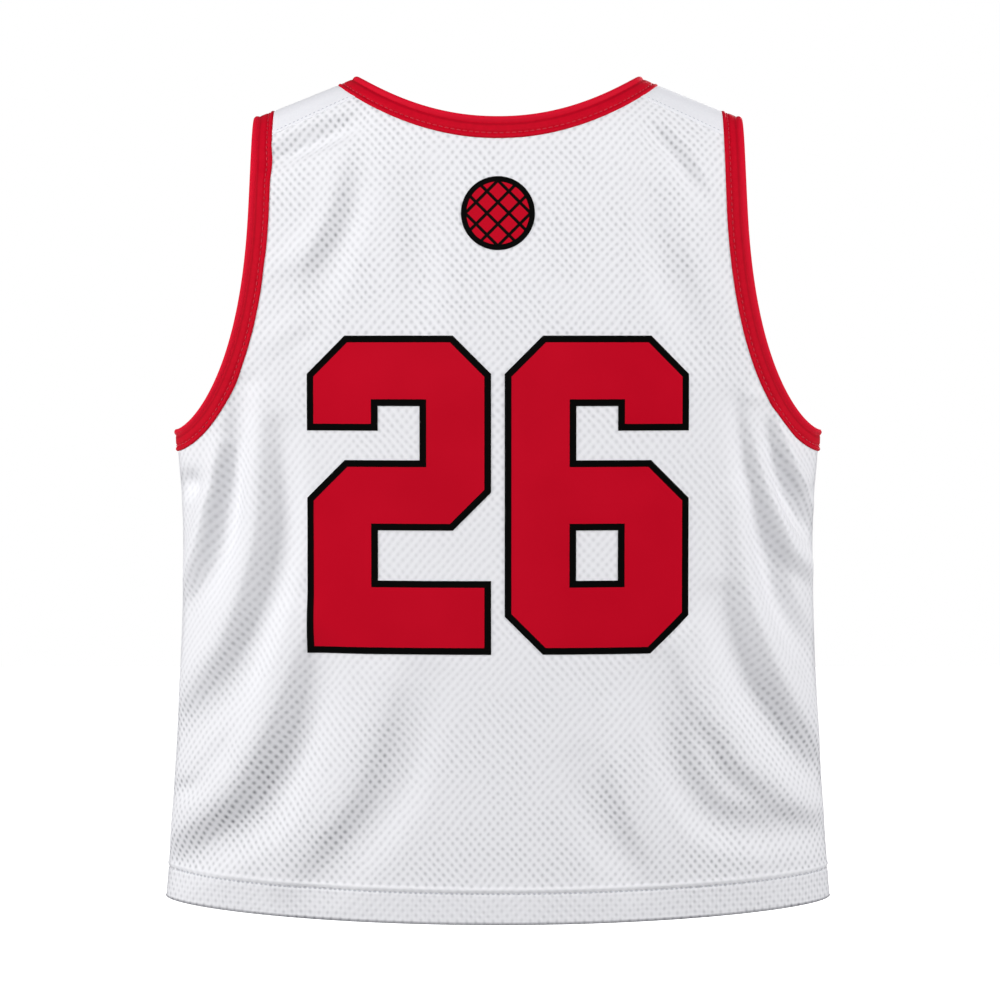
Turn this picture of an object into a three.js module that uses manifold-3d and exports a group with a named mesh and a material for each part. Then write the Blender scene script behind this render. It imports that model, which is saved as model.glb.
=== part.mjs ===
// A sleeveless lacrosse pinnie in white mesh knit with red bindings and a number on its back.
// It keeps the hollow shape it has when it is filled out, with nobody in it: the neck, the two
// armholes and the hem are open, and every wall is cloth.
//
// Millimetres, +Z up. The numbered back faces -Y and the front +Y, and the wearer's left is -X.
// The origin lies midway between the two points where the shoulders meet the neck. A wearer's
// shoulders hold the garment up there, and everything else hangs below.

import * as THREE from 'three';
import { mergeVertices } from 'three/addons/utils/BufferGeometryUtils.js';
import Module from 'manifold-3d';

const wasm = await Module();
wasm.setup();

// ---- Driving sizes ----

const KNIT = 1.4;               // wall of the mesh knit
const TAPE = 0.8;               // one leaf of the folded binding tape
const FILM = 0.7;               // one layer of a pressed-on numeral or badge
const SEAM = 0.3;               // gap wherever two pieces meet

const BACK = -1;                // the side that faces -Y
const FRONT = 1;                // the side that faces +Y

// The garment's section at each height: half its width between the side seams, and how far
// the back and the front stand out from the line between them.
const SECTIONS = [
  { height: -700, halfWidth: 282.8, back: 97, front: 102 },
  { height: -650, halfWidth: 278.6, back: 95, front: 100 },
  { height: -555, halfWidth: 271.9, back: 91, front: 96 },
  { height: -460, halfWidth: 266.9, back: 89, front: 94 },
  { height: -390, halfWidth: 265.1, back: 88, front: 94 },
  { height: -345, halfWidth: 265.9, back: 88.5, front: 95 },
  { height: -300, halfWidth: 269.0, back: 89, front: 96 },
  { height: -200, halfWidth: 270.0, back: 88, front: 93 },
  { height: -100, halfWidth: 267.0, back: 78, front: 80 },
  { height: 0, halfWidth: 262.0, back: 64, front: 62 },
  { height: 60, halfWidth: 258.0, back: 58, front: 56 },
];

const SHOULDER_POINT = 132.5;   // from the middle to where a shoulder line meets the neck binding
const SHOULDER_SLOPE = 0.41;    // fall of the shoulder line for each millimetre outwards
const SHOULDER_EASE = 40;       // how softly the two shoulder lines would meet over the neck
const SHOULDER_ROUND = 85;      // height over which back and front round over into each other

const NECK_HALF = 116.0;        // half the neck opening, at the shoulders
const NECK_DROP = { [BACK]: 30, [FRONT]: 104 };   // depth of the opening at its middle
const NECK_CURVE = { [BACK]: 2.1, [FRONT]: 2.6 }; // 2 is a parabola, and more is squarer

const ARMHOLE_TOP = 203.2;      // half-width between the armholes, at the shoulders
const ARMHOLE_FOOT = -286;      // height of the underarm
const ARMHOLE_HOOK = 2.9;       // how late the armhole starts to sweep outwards
const ARMHOLE_SWEEP = 0.645;    // how flat it runs into the underarm
const FRONT_SCOOP = 9;          // how much further in the front armhole is cut

const BINDING_WIDTH = 17;
const RAW_EDGE = 8;             // from a binding's fold to where a panel's grid of points ends

const HEM_HEIGHT = -680;        // of the hem's lowest edge, at the side seams
const HEM_DROP = 6;             // how much lower it hangs at the middle
const HEM_DEPTH = 27;           // cloth turned up inside

const YOKE_DROP_NECK = 18;      // fall from the shoulder line to the yoke seam, at the neck
const YOKE_DROP_ARM = 23;       // and at the armhole

const NUMBER_TOP = -208;
const NUMBER_GAP = 11;          // between the two numerals
const NUMBER_BORDER = 5.5;      // black that shows round the red
const NUMERAL = {
  width: 150,
  stroke: 58,                   // of the upright bars
  chamfer: 31,                  // cut off each outer corner
  topBar: 57,                   // the rest are depths from the numeral's top
  armEnd: 77,
  middleTop: 101,
  middleFoot: 158,
  baseTop: 199,
  height: 259,
};

const BADGE_CENTRE = -109;      // height of the badge's middle
const BADGE_RADIUS = 30;
const BADGE_BORDER = 4.5;

// The largest folds, each a soft trough (negative depth) or ridge along a bent line on the panel.
// x and z are where it starts, bends towards and ends, and reach is from its line to its foot.
const FOLDS = {
  [BACK]: [
    { x: [-198, -226, -250], z: [-240, -330, -440], depth: -7, reach: 27 },
    { x: [-184, -176, -256], z: [-245, -420, -500], depth: 6, reach: 26 },
    { x: [-168, -168, -236], z: [-262, -420, -520], depth: -5, reach: 25 },
    { x: [-152, -168, -258], z: [-470, -580, -640], depth: -9, reach: 32 },
    { x: [-112, -140, -215], z: [-490, -600, -652], depth: 6, reach: 30 },
    { x: [-72, -92, -160], z: [-480, -600, -655], depth: -6, reach: 30 },
    { x: [206, 218, 256], z: [-245, -330, -375], depth: -6, reach: 25 },
    { x: [184, 190, 262], z: [-262, -420, -490], depth: -7, reach: 28 },
    { x: [164, 172, 256], z: [-262, -400, -510], depth: 5, reach: 25 },
    { x: [170, 190, 262], z: [-420, -520, -570], depth: -6, reach: 28 },
    { x: [124, 160, 250], z: [-480, -600, -630], depth: -8, reach: 32 },
    { x: [80, 104, 150], z: [-480, -580, -655], depth: -5, reach: 28 },
    { x: [-116, -120, -182], z: [-50, -130, -200], depth: -3.5, reach: 24 },
    { x: [130, 132, 184], z: [-50, -130, -200], depth: -3.5, reach: 24 },
  ],
  [FRONT]: [
    { x: [-192, -212, -250], z: [-235, -340, -430], depth: -7, reach: 27 },
    { x: [-170, -168, -240], z: [-250, -430, -530], depth: 5, reach: 26 },
    { x: [-140, -160, -254], z: [-450, -570, -640], depth: -8, reach: 32 },
    { x: [-60, -80, -130], z: [-470, -590, -655], depth: -6, reach: 30 },
    { x: [194, 208, 254], z: [-240, -350, -420], depth: -6, reach: 27 },
    { x: [160, 176, 258], z: [-260, -430, -520], depth: -6, reach: 27 },
    { x: [120, 150, 246], z: [-470, -590, -636], depth: -8, reach: 32 },
    { x: [64, 80, 120], z: [-480, -580, -655], depth: 5, reach: 28 },
    { x: [-20, -16, 0], z: [-500, -580, -655], depth: -4, reach: 28 },
  ],
};
const FOLD_STEPS = 12;          // points that stand for a fold's bent line
const FOLD_FADE = 22;           // folds die out this far from the side seams and shoulders

// How finely the cloth is faceted.
const SIDE_COLUMNS = 6;         // from a side seam to the neck
const NECK_COLUMNS = 5;         // from the neck's end to the middle
const BODY_ROWS = 10;           // from the hem to the underarm
const ARMHOLE_ROWS = 10;        // from the underarm to the shoulder
const YOKE_ROWS = 6;
const LOOP_STATIONS = 41;       // round a binding
const EDGE_POINTS = 600;        // along a cut edge, before its stations are spaced evenly
const CUT_CLEARANCE = 0.55;     // leaves a seam's gap or a little more between unlike facets
const CUT_REACH = 6;            // how far a cut for a binding reaches in and out of the cloth

// ---- The garment's form ----

/** One column of SECTIONS at a height, as a smooth curve through its rows. */
function section(name, height) {
  const last = SECTIONS.length - 1;
  let row = 0;
  while (row < last - 1 && height > SECTIONS[row + 1].height) row += 1;
  const value = (i) => SECTIONS[THREE.MathUtils.clamp(i, 0, last)][name];
  const level = (i) => SECTIONS[THREE.MathUtils.clamp(i, 0, last)].height;
  const slope = (i) => (value(i + 1) - value(i - 1)) / (level(i + 1) - level(i - 1));
  const span = level(row + 1) - level(row);
  const t = (height - level(row)) / span;
  const rise = t * t * (3 - 2 * t);
  const leave = t * (1 - t) * (1 - t) * span;
  const arrive = -t * t * (1 - t) * span;
  return value(row) * (1 - rise) + value(row + 1) * rise + slope(row) * leave + slope(row + 1) * arrive;
}

/** Height of the shoulder line, or of its soft continuation over the neck. */
function shoulderLine(x) {
  return SHOULDER_SLOPE * (Math.hypot(SHOULDER_POINT, SHOULDER_EASE) - Math.hypot(x, SHOULDER_EASE));
}

/** Squared share of the full depth that is left near the shoulder line, where the sides round over. */
function roundedShare(x, z) {
  const fromRound = Math.max(0, 1 - (shoulderLine(x) - z) / SHOULDER_ROUND);
  return 1 - fromRound * fromRound;
}

/** Negative inside the garment's form, zero on it and positive outside. */
function formLevel(p) {
  const depth = section(p.y < 0 ? 'back' : 'front', p.z);
  const across = p.x / section('halfWidth', p.z);
  return (p.y / depth) ** 2 - (1 - across * across) * roundedShare(p.x, p.z);
}

/** The form's slope at a point, which points outwards. */
function formGradient(p) {
  const step = 0.05;
  const along = (axis) => {
    const ahead = p.clone();
    const behind = p.clone();
    ahead[axis] += step;
    behind[axis] -= step;
    return (formLevel(ahead) - formLevel(behind)) / (2 * step);
  };
  return new THREE.Vector3(along('x'), along('y'), along('z'));
}

/** The point of the form at x and z, on the back or on the front. */
function formPoint(side, x, z) {
  const across = x / section('halfWidth', z);
  const share = Math.max(0, (1 - across * across) * roundedShare(x, z));
  return new THREE.Vector3(x, side * section(side === BACK ? 'back' : 'front', z) * Math.sqrt(share), z);
}

const foldLines = {};
for (const side of [BACK, FRONT]) {
  foldLines[side] = FOLDS[side].map((fold) => {
    const ends = fold.x.map((x, i) => new THREE.Vector2(x, fold.z[i]));
    return new THREE.QuadraticBezierCurve(...ends).getPoints(FOLD_STEPS);
  });
}

/** How far the folds push the cloth outwards at a point of the form. */
function foldHeight(p) {
  const side = p.y < 0 ? BACK : FRONT;
  const here = new THREE.Vector2(p.x, p.z);
  let height = 0;
  FOLDS[side].forEach((fold, index) => {
    let nearest = Infinity;
    let along = 0;
    foldLines[side][index].forEach((point, i) => {
      const distance = point.distanceTo(here);
      if (distance < nearest) {
        nearest = distance;
        along = i / FOLD_STEPS;
      }
    });
    if (nearest >= fold.reach) return;
    const profile = 0.5 + 0.5 * Math.cos((Math.PI * nearest) / fold.reach);
    height += fold.depth * profile * Math.sin(Math.PI * (0.12 + 0.76 * along));
  });
  return height * THREE.MathUtils.smoothstep(Math.abs(p.y), 0, FOLD_FADE);
}

/** A point of the form moved to the cloth's folded outer face, and a further distance out. */
function onCloth(p, out) {
  const normal = formGradient(p).normalize();
  return p.clone().addScaledVector(normal, foldHeight(p) + out);
}

// ---- The cut edges ----

/** Half-width of the panel up the side seam and then round the armhole, edge set in by some way. */
function panelHalfWidth(side, z, inset) {
  const foot = ARMHOLE_FOOT - inset;
  const halfWidthAtFoot = section('halfWidth', foot);
  if (z <= foot) return section('halfWidth', z);
  const top = ARMHOLE_TOP - inset;
  const down = THREE.MathUtils.clamp((shoulderLine(top) - z) / (shoulderLine(top) - foot), 0, 1);
  const sweep = 1 - (1 - down ** ARMHOLE_HOOK) ** ARMHOLE_SWEEP;
  const scoop = side === FRONT ? FRONT_SCOOP * Math.sin(Math.PI * down) ** 2 : 0;
  return top + (halfWidthAtFoot - top) * sweep - scoop;
}

/** Height of the neck edge at x, set in by some way. */
function neckEdge(side, x, inset) {
  const half = NECK_HALF + inset;
  const drop = NECK_DROP[side] + inset;
  const share = Math.min(1, Math.abs(x) / half) ** NECK_CURVE[side];
  return -drop + (drop + shoulderLine(half)) * share;
}

/** Height of the seam between a panel and the yokes, at x. */
function yokeSeam(x) {
  const out = (Math.abs(x) - NECK_HALF) / (ARMHOLE_TOP - NECK_HALF);
  return shoulderLine(x) - THREE.MathUtils.lerp(YOKE_DROP_NECK, YOKE_DROP_ARM, out);
}

/** Height of the hem's lowest edge at x. */
function hemEdge(x) {
  const across = x / section('halfWidth', HEM_HEIGHT);
  return HEM_HEIGHT - HEM_DROP * Math.max(0, 1 - across * across);
}

/** Half-width at which the yoke seam runs into the panel's neck edge. */
function seamMeetsNeck(side) {
  let low = 0;
  let high = NECK_HALF + RAW_EDGE;
  for (let i = 0; i < 40; i += 1) {
    const middle = (low + high) / 2;
    if (neckEdge(side, middle, RAW_EDGE) > yokeSeam(middle)) high = middle;
    else low = middle;
  }
  return low;
}

// ---- Cloth as walls ----

/** Where a panel's columns run, as shares of its half-width, with one at each end of the neck. */
function panelColumns(side) {
  const neck = seamMeetsNeck(side) / (ARMHOLE_TOP - RAW_EDGE);
  const neckAngle = Math.asin(neck);
  const half = [];
  for (let i = 1; i <= NECK_COLUMNS; i += 1) half.push(neck * Math.sin((Math.PI * i) / (2 * NECK_COLUMNS)));
  for (let i = 1; i <= SIDE_COLUMNS; i += 1) {
    const toSide = 1 - (1 - i / SIDE_COLUMNS) ** 1.3;
    half.push(Math.sin(neckAngle + (Math.PI / 2 - neckAngle) * toSide));
  }
  return [...half.map((share) => -share).reverse(), 0, ...half];
}

/** A panel's rows of points on the form, from the hem up, with the cloth's wall at each row. */
function panelRows(side) {
  const columns = panelColumns(side);
  const top = ARMHOLE_TOP - RAW_EDGE;
  const neck = seamMeetsNeck(side);
  const topEdge = (x) => {
    if (Math.abs(x) < neck - 0.01) return neckEdge(side, x, RAW_EDGE);
    return yokeSeam(x) - SEAM / 2;
  };
  const sideTop = topEdge(top);
  const hemTop = HEM_HEIGHT + HEM_DEPTH;
  const underarm = (ARMHOLE_FOOT - RAW_EDGE - hemTop) / (sideTop - hemTop);
  const shares = [];
  for (let i = 1; i <= BODY_ROWS; i += 1) shares.push((underarm * i) / BODY_ROWS);
  for (let i = 1; i <= ARMHOLE_ROWS; i += 1) {
    const rise = (1 - Math.cos((Math.PI * i) / ARMHOLE_ROWS)) / 2;
    shares.push(underarm + (1 - underarm) * rise);
  }
  const heights = [
    { wall: 2 * KNIT, height: (share, x) => hemEdge(x) },
    { wall: 2 * KNIT, height: (share, x) => hemEdge(x) + HEM_DEPTH },
    { wall: KNIT, height: (share, x) => hemEdge(x) + HEM_DEPTH + KNIT },
  ];
  for (const share of shares) {
    heights.push({
      wall: KNIT,
      height: (column, x) => {
        const foot = hemEdge(x) + HEM_DEPTH;
        return foot + share * (topEdge(column * top) - foot);
      },
    });
  }
  return heights.map(({ wall, height }) => ({
    wall,
    points: columns.map((column) => {
      let x = column * top;
      let z = height(column, x);
      for (let i = 0; i < 6; i += 1) {
        x = column * panelHalfWidth(side, z, RAW_EDGE);
        z = height(column, x);
      }
      const p = formPoint(side, x, z);
      if (Math.abs(p.y) < SEAM / 2) p.y = (side * SEAM) / 2;
      return p;
    }),
  }));
}

/** A yoke's rows of points on the form, from its back seam over the shoulder to its front seam. */
function yokeRows(hand) {
  const armX = ARMHOLE_TOP - RAW_EDGE;
  const shares = {};
  for (const side of [BACK, FRONT]) {
    const neck = seamMeetsNeck(side);
    shares[side] = panelColumns(side)
      .map((column) => column * armX)
      .filter((x) => x > neck - 0.01)
      .map((x) => (x - neck) / (armX - neck));
  }
  const rows = [];
  for (let i = 0; i <= YOKE_ROWS; i += 1) {
    const turn = -1 + (2 * i) / YOKE_ROWS;
    const side = turn <= 0 ? BACK : FRONT;
    const down = 1 - Math.cos((Math.abs(turn) * Math.PI) / 2);
    const gap = Math.abs(turn) === 1 ? SEAM / 2 : 0;
    const neckX = THREE.MathUtils.lerp(NECK_HALF + RAW_EDGE, seamMeetsNeck(side), down);
    rows.push({
      wall: KNIT,
      points: shares[side].map((share) => {
        const x = hand * THREE.MathUtils.lerp(neckX, armX, share);
        return formPoint(side, x, THREE.MathUtils.lerp(shoulderLine(x), yokeSeam(x), down) + gap);
      }),
    });
  }
  return rows;
}

/** A closed solid from a grid of outer points and a grid of inner points of the same size. */
function wallSolid(outer, inner) {
  const rows = outer.length;
  const columns = outer[0].length;
  const positions = [];
  for (const grid of [outer, inner]) {
    for (const row of grid) {
      for (const p of row) positions.push(p.x, p.y, p.z);
    }
  }
  const face = (i, j) => i * columns + j;
  const back = (i, j) => rows * columns + face(i, j);
  const triangles = [];
  const quad = (a, b, c, d) => triangles.push(a, b, c, a, c, d);
  for (let i = 0; i + 1 < rows; i += 1) {
    for (let j = 0; j + 1 < columns; j += 1) {
      quad(face(i, j), face(i, j + 1), face(i + 1, j + 1), face(i + 1, j));
      quad(back(i, j), back(i + 1, j), back(i + 1, j + 1), back(i, j + 1));
    }
    quad(face(i, 0), face(i + 1, 0), back(i + 1, 0), back(i, 0));
    const end = columns - 1;
    quad(face(i, end), back(i, end), back(i + 1, end), face(i + 1, end));
  }
  for (let j = 0; j + 1 < columns; j += 1) {
    quad(face(0, j), back(0, j), back(0, j + 1), face(0, j + 1));
    const top = rows - 1;
    quad(face(top, j), face(top, j + 1), back(top, j + 1), back(top, j));
  }
  return facingOut(positions, triangles);
}

/** Turns a closed mesh's faces outwards, and gives it as a solid. */
function facingOut(positions, triangles) {
  const geometry = new THREE.BufferGeometry();
  geometry.setAttribute('position', new THREE.Float32BufferAttribute(positions, 3));
  geometry.setIndex(triangles);
  if (signedVolume(geometry) < 0) {
    for (let i = 0; i < triangles.length; i += 3) {
      [triangles[i], triangles[i + 1]] = [triangles[i + 1], triangles[i]];
    }
    geometry.setIndex(triangles);
  }
  return toSolid(geometry);
}

function signedVolume(geometry) {
  const position = geometry.getAttribute('position');
  const index = geometry.getIndex();
  const [a, b, c] = [new THREE.Vector3(), new THREE.Vector3(), new THREE.Vector3()];
  let sum = 0;
  for (let i = 0; i < index.count; i += 3) {
    a.fromBufferAttribute(position, index.getX(i));
    b.fromBufferAttribute(position, index.getX(i + 1));
    c.fromBufferAttribute(position, index.getX(i + 2));
    sum += a.dot(b.cross(c)) / 6;
  }
  return sum;
}

/** A three.js geometry as a solid that can be joined and cut. */
function toSolid(geometry) {
  const bare = geometry.clone();
  for (const name of Object.keys(bare.attributes)) {
    if (name !== 'position') bare.deleteAttribute(name);
  }
  const merged = mergeVertices(bare, 1e-4);
  return new wasm.Manifold(new wasm.Mesh({
    numProp: 3,
    vertProperties: new Float32Array(merged.getAttribute('position').array),
    triVerts: new Uint32Array(merged.getIndex().array),
  }));
}

/** The cloth of a panel or yoke, from its rows of points. */
function clothWall(rows) {
  const outer = rows.map((row) => row.points.map((p) => onCloth(p, 0)));
  const inner = rows.map((row) => row.points.map((p) => onCloth(p, -row.wall)));
  return wallSolid(outer, inner);
}

/** A layer that lies on the back panel, between two distances out from its outer face. */
function layerOnBack(from, to) {
  const rows = panelRows(BACK);
  const outer = rows.map((row) => row.points.map((p) => onCloth(p, to)));
  const inner = rows.map((row) => row.points.map((p) => onCloth(p, from)));
  return wallSolid(outer, inner);
}

// ---- Bindings ----

/** A cut edge's points spaced evenly round its loop. */
function evenly(points, count) {
  const curve = new THREE.CatmullRomCurve3(points, true);
  curve.arcLengthDivisions = points.length * 2;
  return curve.getSpacedPoints(count).slice(0, count);
}

/** The armhole's edge: up the back from the underarm, over the shoulder and down the front. */
function armholeLoop(hand) {
  const top = shoulderLine(ARMHOLE_TOP);
  const points = [];
  for (const side of [BACK, FRONT]) {
    for (let i = 0; i < EDGE_POINTS; i += 1) {
      const t = side === BACK ? i / EDGE_POINTS : 1 - i / EDGE_POINTS;
      const z = ARMHOLE_FOOT + ((top - ARMHOLE_FOOT) * (1 - Math.cos(Math.PI * t))) / 2;
      points.push(formPoint(side, hand * panelHalfWidth(side, z, 0), z));
    }
  }
  return evenly(points, LOOP_STATIONS);
}

/** The neck's edge: across the back and then back across the front. */
function neckLoop() {
  const points = [];
  for (const side of [BACK, FRONT]) {
    for (let i = 0; i < EDGE_POINTS; i += 1) {
      const t = side === BACK ? -1 + (2 * i) / EDGE_POINTS : 1 - (2 * i) / EDGE_POINTS;
      const x = NECK_HALF * Math.sin((Math.PI / 2) * t);
      points.push(formPoint(side, x, neckEdge(side, x, 0)));
    }
  }
  return evenly(points, LOOP_STATIONS);
}

/** Steps over the form from an edge point, and gives the points at some distances from the edge. */
function acrossForm(start, direction, distances) {
  const steps = 8;
  const p = start.clone();
  const heading = direction.clone();
  const found = [p.clone()];
  for (let k = 1; k < distances.length; k += 1) {
    for (let i = 0; i < steps; i += 1) {
      p.addScaledVector(heading, (distances[k] - distances[k - 1]) / steps);
      const slope = formGradient(p);
      p.addScaledVector(slope, -formLevel(p) / slope.lengthSq());
      const normal = slope.normalize();
      heading.addScaledVector(normal, -heading.dot(normal)).normalize();
    }
    found.push(p.clone());
  }
  return found;
}

/**
 * A ring along an edge loop: from start to end across the cloth, and from inside to outside through
 * it, both measured from the edge of the cloth's outer face. turn says which way the cloth lies.
 */
function edgeRing(loop, turn, start, end, outside, inside) {
  const fold = TAPE;
  const ring = [];
  const count = loop.length;
  loop.forEach((p, i) => {
    const along = loop[(i + 1) % count].clone().sub(loop[(i + count - 1) % count]).normalize();
    const normal = formGradient(p).normalize();
    const inward = new THREE.Vector3().crossVectors(normal, along).multiplyScalar(turn).normalize();
    const stops = [0, start, start + fold, (start + end) / 2, end];
    const [edge, near, middle, far] = acrossForm(p, inward, stops).slice(1);
    ring.push([
      onCloth(near, outside), onCloth(middle, outside), onCloth(far, outside),
      onCloth(far, inside), onCloth(middle, inside), onCloth(near, inside),
      onCloth(edge, inside + fold), onCloth(edge, outside - fold),
    ]);
  });
  const size = ring[0].length;
  const positions = ring.flat().flatMap((p) => [p.x, p.y, p.z]);
  const triangles = [];
  for (let i = 0; i < count; i += 1) {
    for (let j = 0; j < size; j += 1) {
      const a = i * size + j;
      const b = i * size + ((j + 1) % size);
      const c = ((i + 1) % count) * size + ((j + 1) % size);
      const d = ((i + 1) % count) * size + j;
      triangles.push(a, b, c, a, c, d);
    }
  }
  return facingOut(positions, triangles);
}

/** The tape folded over an edge, solid right through with the raw edge it holds. */
function binding(loop, turn) {
  return edgeRing(loop, turn, 0, BINDING_WIDTH, TAPE, -(KNIT + TAPE));
}

/** The room that a binding takes out of the panels and yokes. */
function bindingRoom(loop, turn) {
  return edgeRing(loop, turn, -CUT_REACH, BINDING_WIDTH + CUT_CLEARANCE, CUT_REACH, -CUT_REACH);
}

// ---- Numerals and badge ----

/** An outline moved inwards by some way, corner by corner. */
function insetOutline(points, by) {
  const count = points.length;
  return points.map((p, i) => {
    const before = points[(i + count - 1) % count];
    const after = points[(i + 1) % count];
    const first = p.clone().sub(before).normalize();
    const second = after.clone().sub(p).normalize();
    const normal = new THREE.Vector2(first.y, -first.x);
    const next = new THREE.Vector2(second.y, -second.x);
    const bisector = normal.clone().add(next);
    return p.clone().addScaledVector(bisector, by / (1 + normal.dot(next)));
  });
}

/** Block numeral outlines: x to the right and z up from the numeral's top left corner. */
function numeralOutlines(name) {
  const n = NUMERAL;
  const far = n.width - n.stroke;
  const clipped = n.width - n.chamfer;
  const outlines = {
    two: [[
      [n.chamfer, 0], [clipped, 0], [n.width, n.chamfer], [n.width, n.middleFoot - n.chamfer],
      [clipped, n.middleFoot], [n.stroke, n.middleFoot], [n.stroke, n.baseTop], [n.width, n.baseTop],
      [n.width, n.height], [0, n.height], [0, n.middleTop + n.chamfer], [n.chamfer, n.middleTop],
      [far, n.middleTop], [far, n.topBar], [n.stroke, n.topBar], [n.stroke, n.armEnd],
      [0, n.armEnd], [0, n.chamfer],
    ]],
    six: [[
      [n.chamfer, 0], [clipped, 0], [n.width, n.chamfer], [n.width, n.armEnd], [far, n.armEnd],
      [far, n.topBar], [n.stroke, n.topBar], [n.stroke, n.middleTop], [clipped, n.middleTop],
      [n.width, n.middleTop + n.chamfer], [n.width, n.height - n.chamfer], [clipped, n.height],
      [n.chamfer, n.height], [0, n.height - n.chamfer], [0, n.chamfer],
    ], [
      [n.stroke, n.middleFoot], [n.stroke, n.baseTop], [far, n.baseTop], [far, n.middleFoot],
    ]],
  };
  return outlines[name].map((outline) => outline.map(([x, down]) => new THREE.Vector2(x, -down)));
}

/** An outline with holes, as a bar through the back panel, with its top left corner at x and z. */
function barThroughBack(outlines, x, z) {
  const [outer, ...holes] = outlines;
  const shape = new THREE.Shape(outer);
  for (const hole of holes) shape.holes.push(new THREE.Path(hole));
  const thickness = 200;
  const geometry = new THREE.ExtrudeGeometry(shape, { depth: thickness, bevelEnabled: false });
  geometry.rotateX(Math.PI / 2);
  geometry.translate(x, 0, z);
  return toSolid(geometry);
}

/** The black under layer and the red face of something pressed on the back panel. */
function pressedOn(outlines, x, z, border) {
  const under = barThroughBack(outlines, x, z);
  const face = barThroughBack(outlines.map((outline) => insetOutline(outline, border)), x, z);
  const first = SEAM;
  const second = first + FILM + SEAM;
  return {
    border: layerOnBack(first, first + FILM).intersect(under),
    face: layerOnBack(second, second + FILM).intersect(face),
  };
}

/** A round outline, whose points run the same way as a numeral's. */
function disc(radius) {
  const sides = 20;
  const points = [];
  for (let i = 0; i < sides; i += 1) {
    const angle = (-2 * Math.PI * i) / sides;
    points.push(new THREE.Vector2(radius * Math.cos(angle), radius * Math.sin(angle)));
  }
  return points;
}

// ---- The garment ----

const materials = {
  mesh: { color: 0xeeeef2, roughness: 0.62, metalness: 0 },
  yoke: { color: 0xf1f1f5, roughness: 0.55, metalness: 0 },
  tape: { color: 0xc40c24, roughness: 0.6, metalness: 0 },
  red: { color: 0xc00a22, roughness: 0.48, metalness: 0 },
  black: { color: 0x0b0d10, roughness: 0.5, metalness: 0 },
};

const garment = new THREE.Group();

function addPiece(name, solid, material) {
  const mesh = solid.getMesh();
  const geometry = new THREE.BufferGeometry();
  geometry.setAttribute('position', new THREE.Float32BufferAttribute(mesh.vertProperties, 3));
  geometry.setIndex(Array.from(mesh.triVerts));
  geometry.computeVertexNormals();
  const piece = new THREE.Mesh(geometry, new THREE.MeshStandardMaterial(material));
  piece.name = name;
  garment.add(piece);
}

const hands = { left: -1, right: 1 };
const edges = { neck_binding: [neckLoop(), -1] };
for (const [name, hand] of Object.entries(hands)) {
  edges[`armhole_binding_${name}`] = [armholeLoop(hand), hand];
}
const rooms = Object.values(edges).map(([loop, turn]) => bindingRoom(loop, turn));

/** Cuts a panel or yoke back to its bindings. */
function trimmed(cloth) {
  return rooms.reduce((rest, room) => rest.subtract(room), cloth);
}

const panels = { back_panel: BACK, front_panel: FRONT };
for (const [name, side] of Object.entries(panels)) {
  addPiece(name, trimmed(clothWall(panelRows(side))), materials.mesh);
}
for (const [name, hand] of Object.entries(hands)) {
  addPiece(`yoke_${name}`, trimmed(clothWall(yokeRows(hand))), materials.yoke);
}
for (const [name, [loop, turn]] of Object.entries(edges)) {
  addPiece(name, binding(loop, turn), materials.tape);
}

const numeralPlaces = { two: -NUMBER_GAP / 2 - NUMERAL.width, six: NUMBER_GAP / 2 };
for (const [name, x] of Object.entries(numeralPlaces)) {
  const layers = pressedOn(numeralOutlines(name), x, NUMBER_TOP, NUMBER_BORDER);
  addPiece(`numeral_${name}_border`, layers.border, materials.black);
  addPiece(`numeral_${name}_face`, layers.face, materials.red);
}

const badge = pressedOn([disc(BADGE_RADIUS)], 0, BADGE_CENTRE, BADGE_BORDER);
addPiece('badge_border', badge.border, materials.black);
addPiece('badge_face', badge.face, materials.red);

export default garment;
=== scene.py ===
# A sleeveless lacrosse pinnie in white mesh knit, with red bindings and a pressed-on number.
# It hangs hollow and filled out, with its numbered back to -Y. Cloth sizes are in millimetres,
# measured like the frame's from the middle of the shoulders, and meshes are made in metres.

import math

import bmesh
import bpy
import numpy as np
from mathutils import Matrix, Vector


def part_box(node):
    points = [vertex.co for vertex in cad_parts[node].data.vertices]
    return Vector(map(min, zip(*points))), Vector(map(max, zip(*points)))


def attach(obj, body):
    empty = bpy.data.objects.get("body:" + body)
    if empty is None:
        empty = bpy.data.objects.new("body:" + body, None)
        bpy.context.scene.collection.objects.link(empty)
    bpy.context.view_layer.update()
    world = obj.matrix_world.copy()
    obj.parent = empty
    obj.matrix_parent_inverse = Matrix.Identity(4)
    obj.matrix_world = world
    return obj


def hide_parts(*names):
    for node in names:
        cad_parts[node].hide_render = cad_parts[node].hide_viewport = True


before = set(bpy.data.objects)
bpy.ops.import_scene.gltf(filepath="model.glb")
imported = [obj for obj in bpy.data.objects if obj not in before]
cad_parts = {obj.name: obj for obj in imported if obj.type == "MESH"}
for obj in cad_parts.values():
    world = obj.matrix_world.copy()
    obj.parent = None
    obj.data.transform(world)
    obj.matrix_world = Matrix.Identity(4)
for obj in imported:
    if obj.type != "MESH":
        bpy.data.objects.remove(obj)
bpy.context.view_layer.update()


# ---- Camera ----
# A long portrait lens, a little above the middle of the garment and square to its back.

CAMERA_AIM = Vector((0.0017, 0.0, -0.3457))
CAMERA_DISTANCE = 2.5
CAMERA_RISE = math.radians(3)
CAMERA_LENS = 107.1

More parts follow.
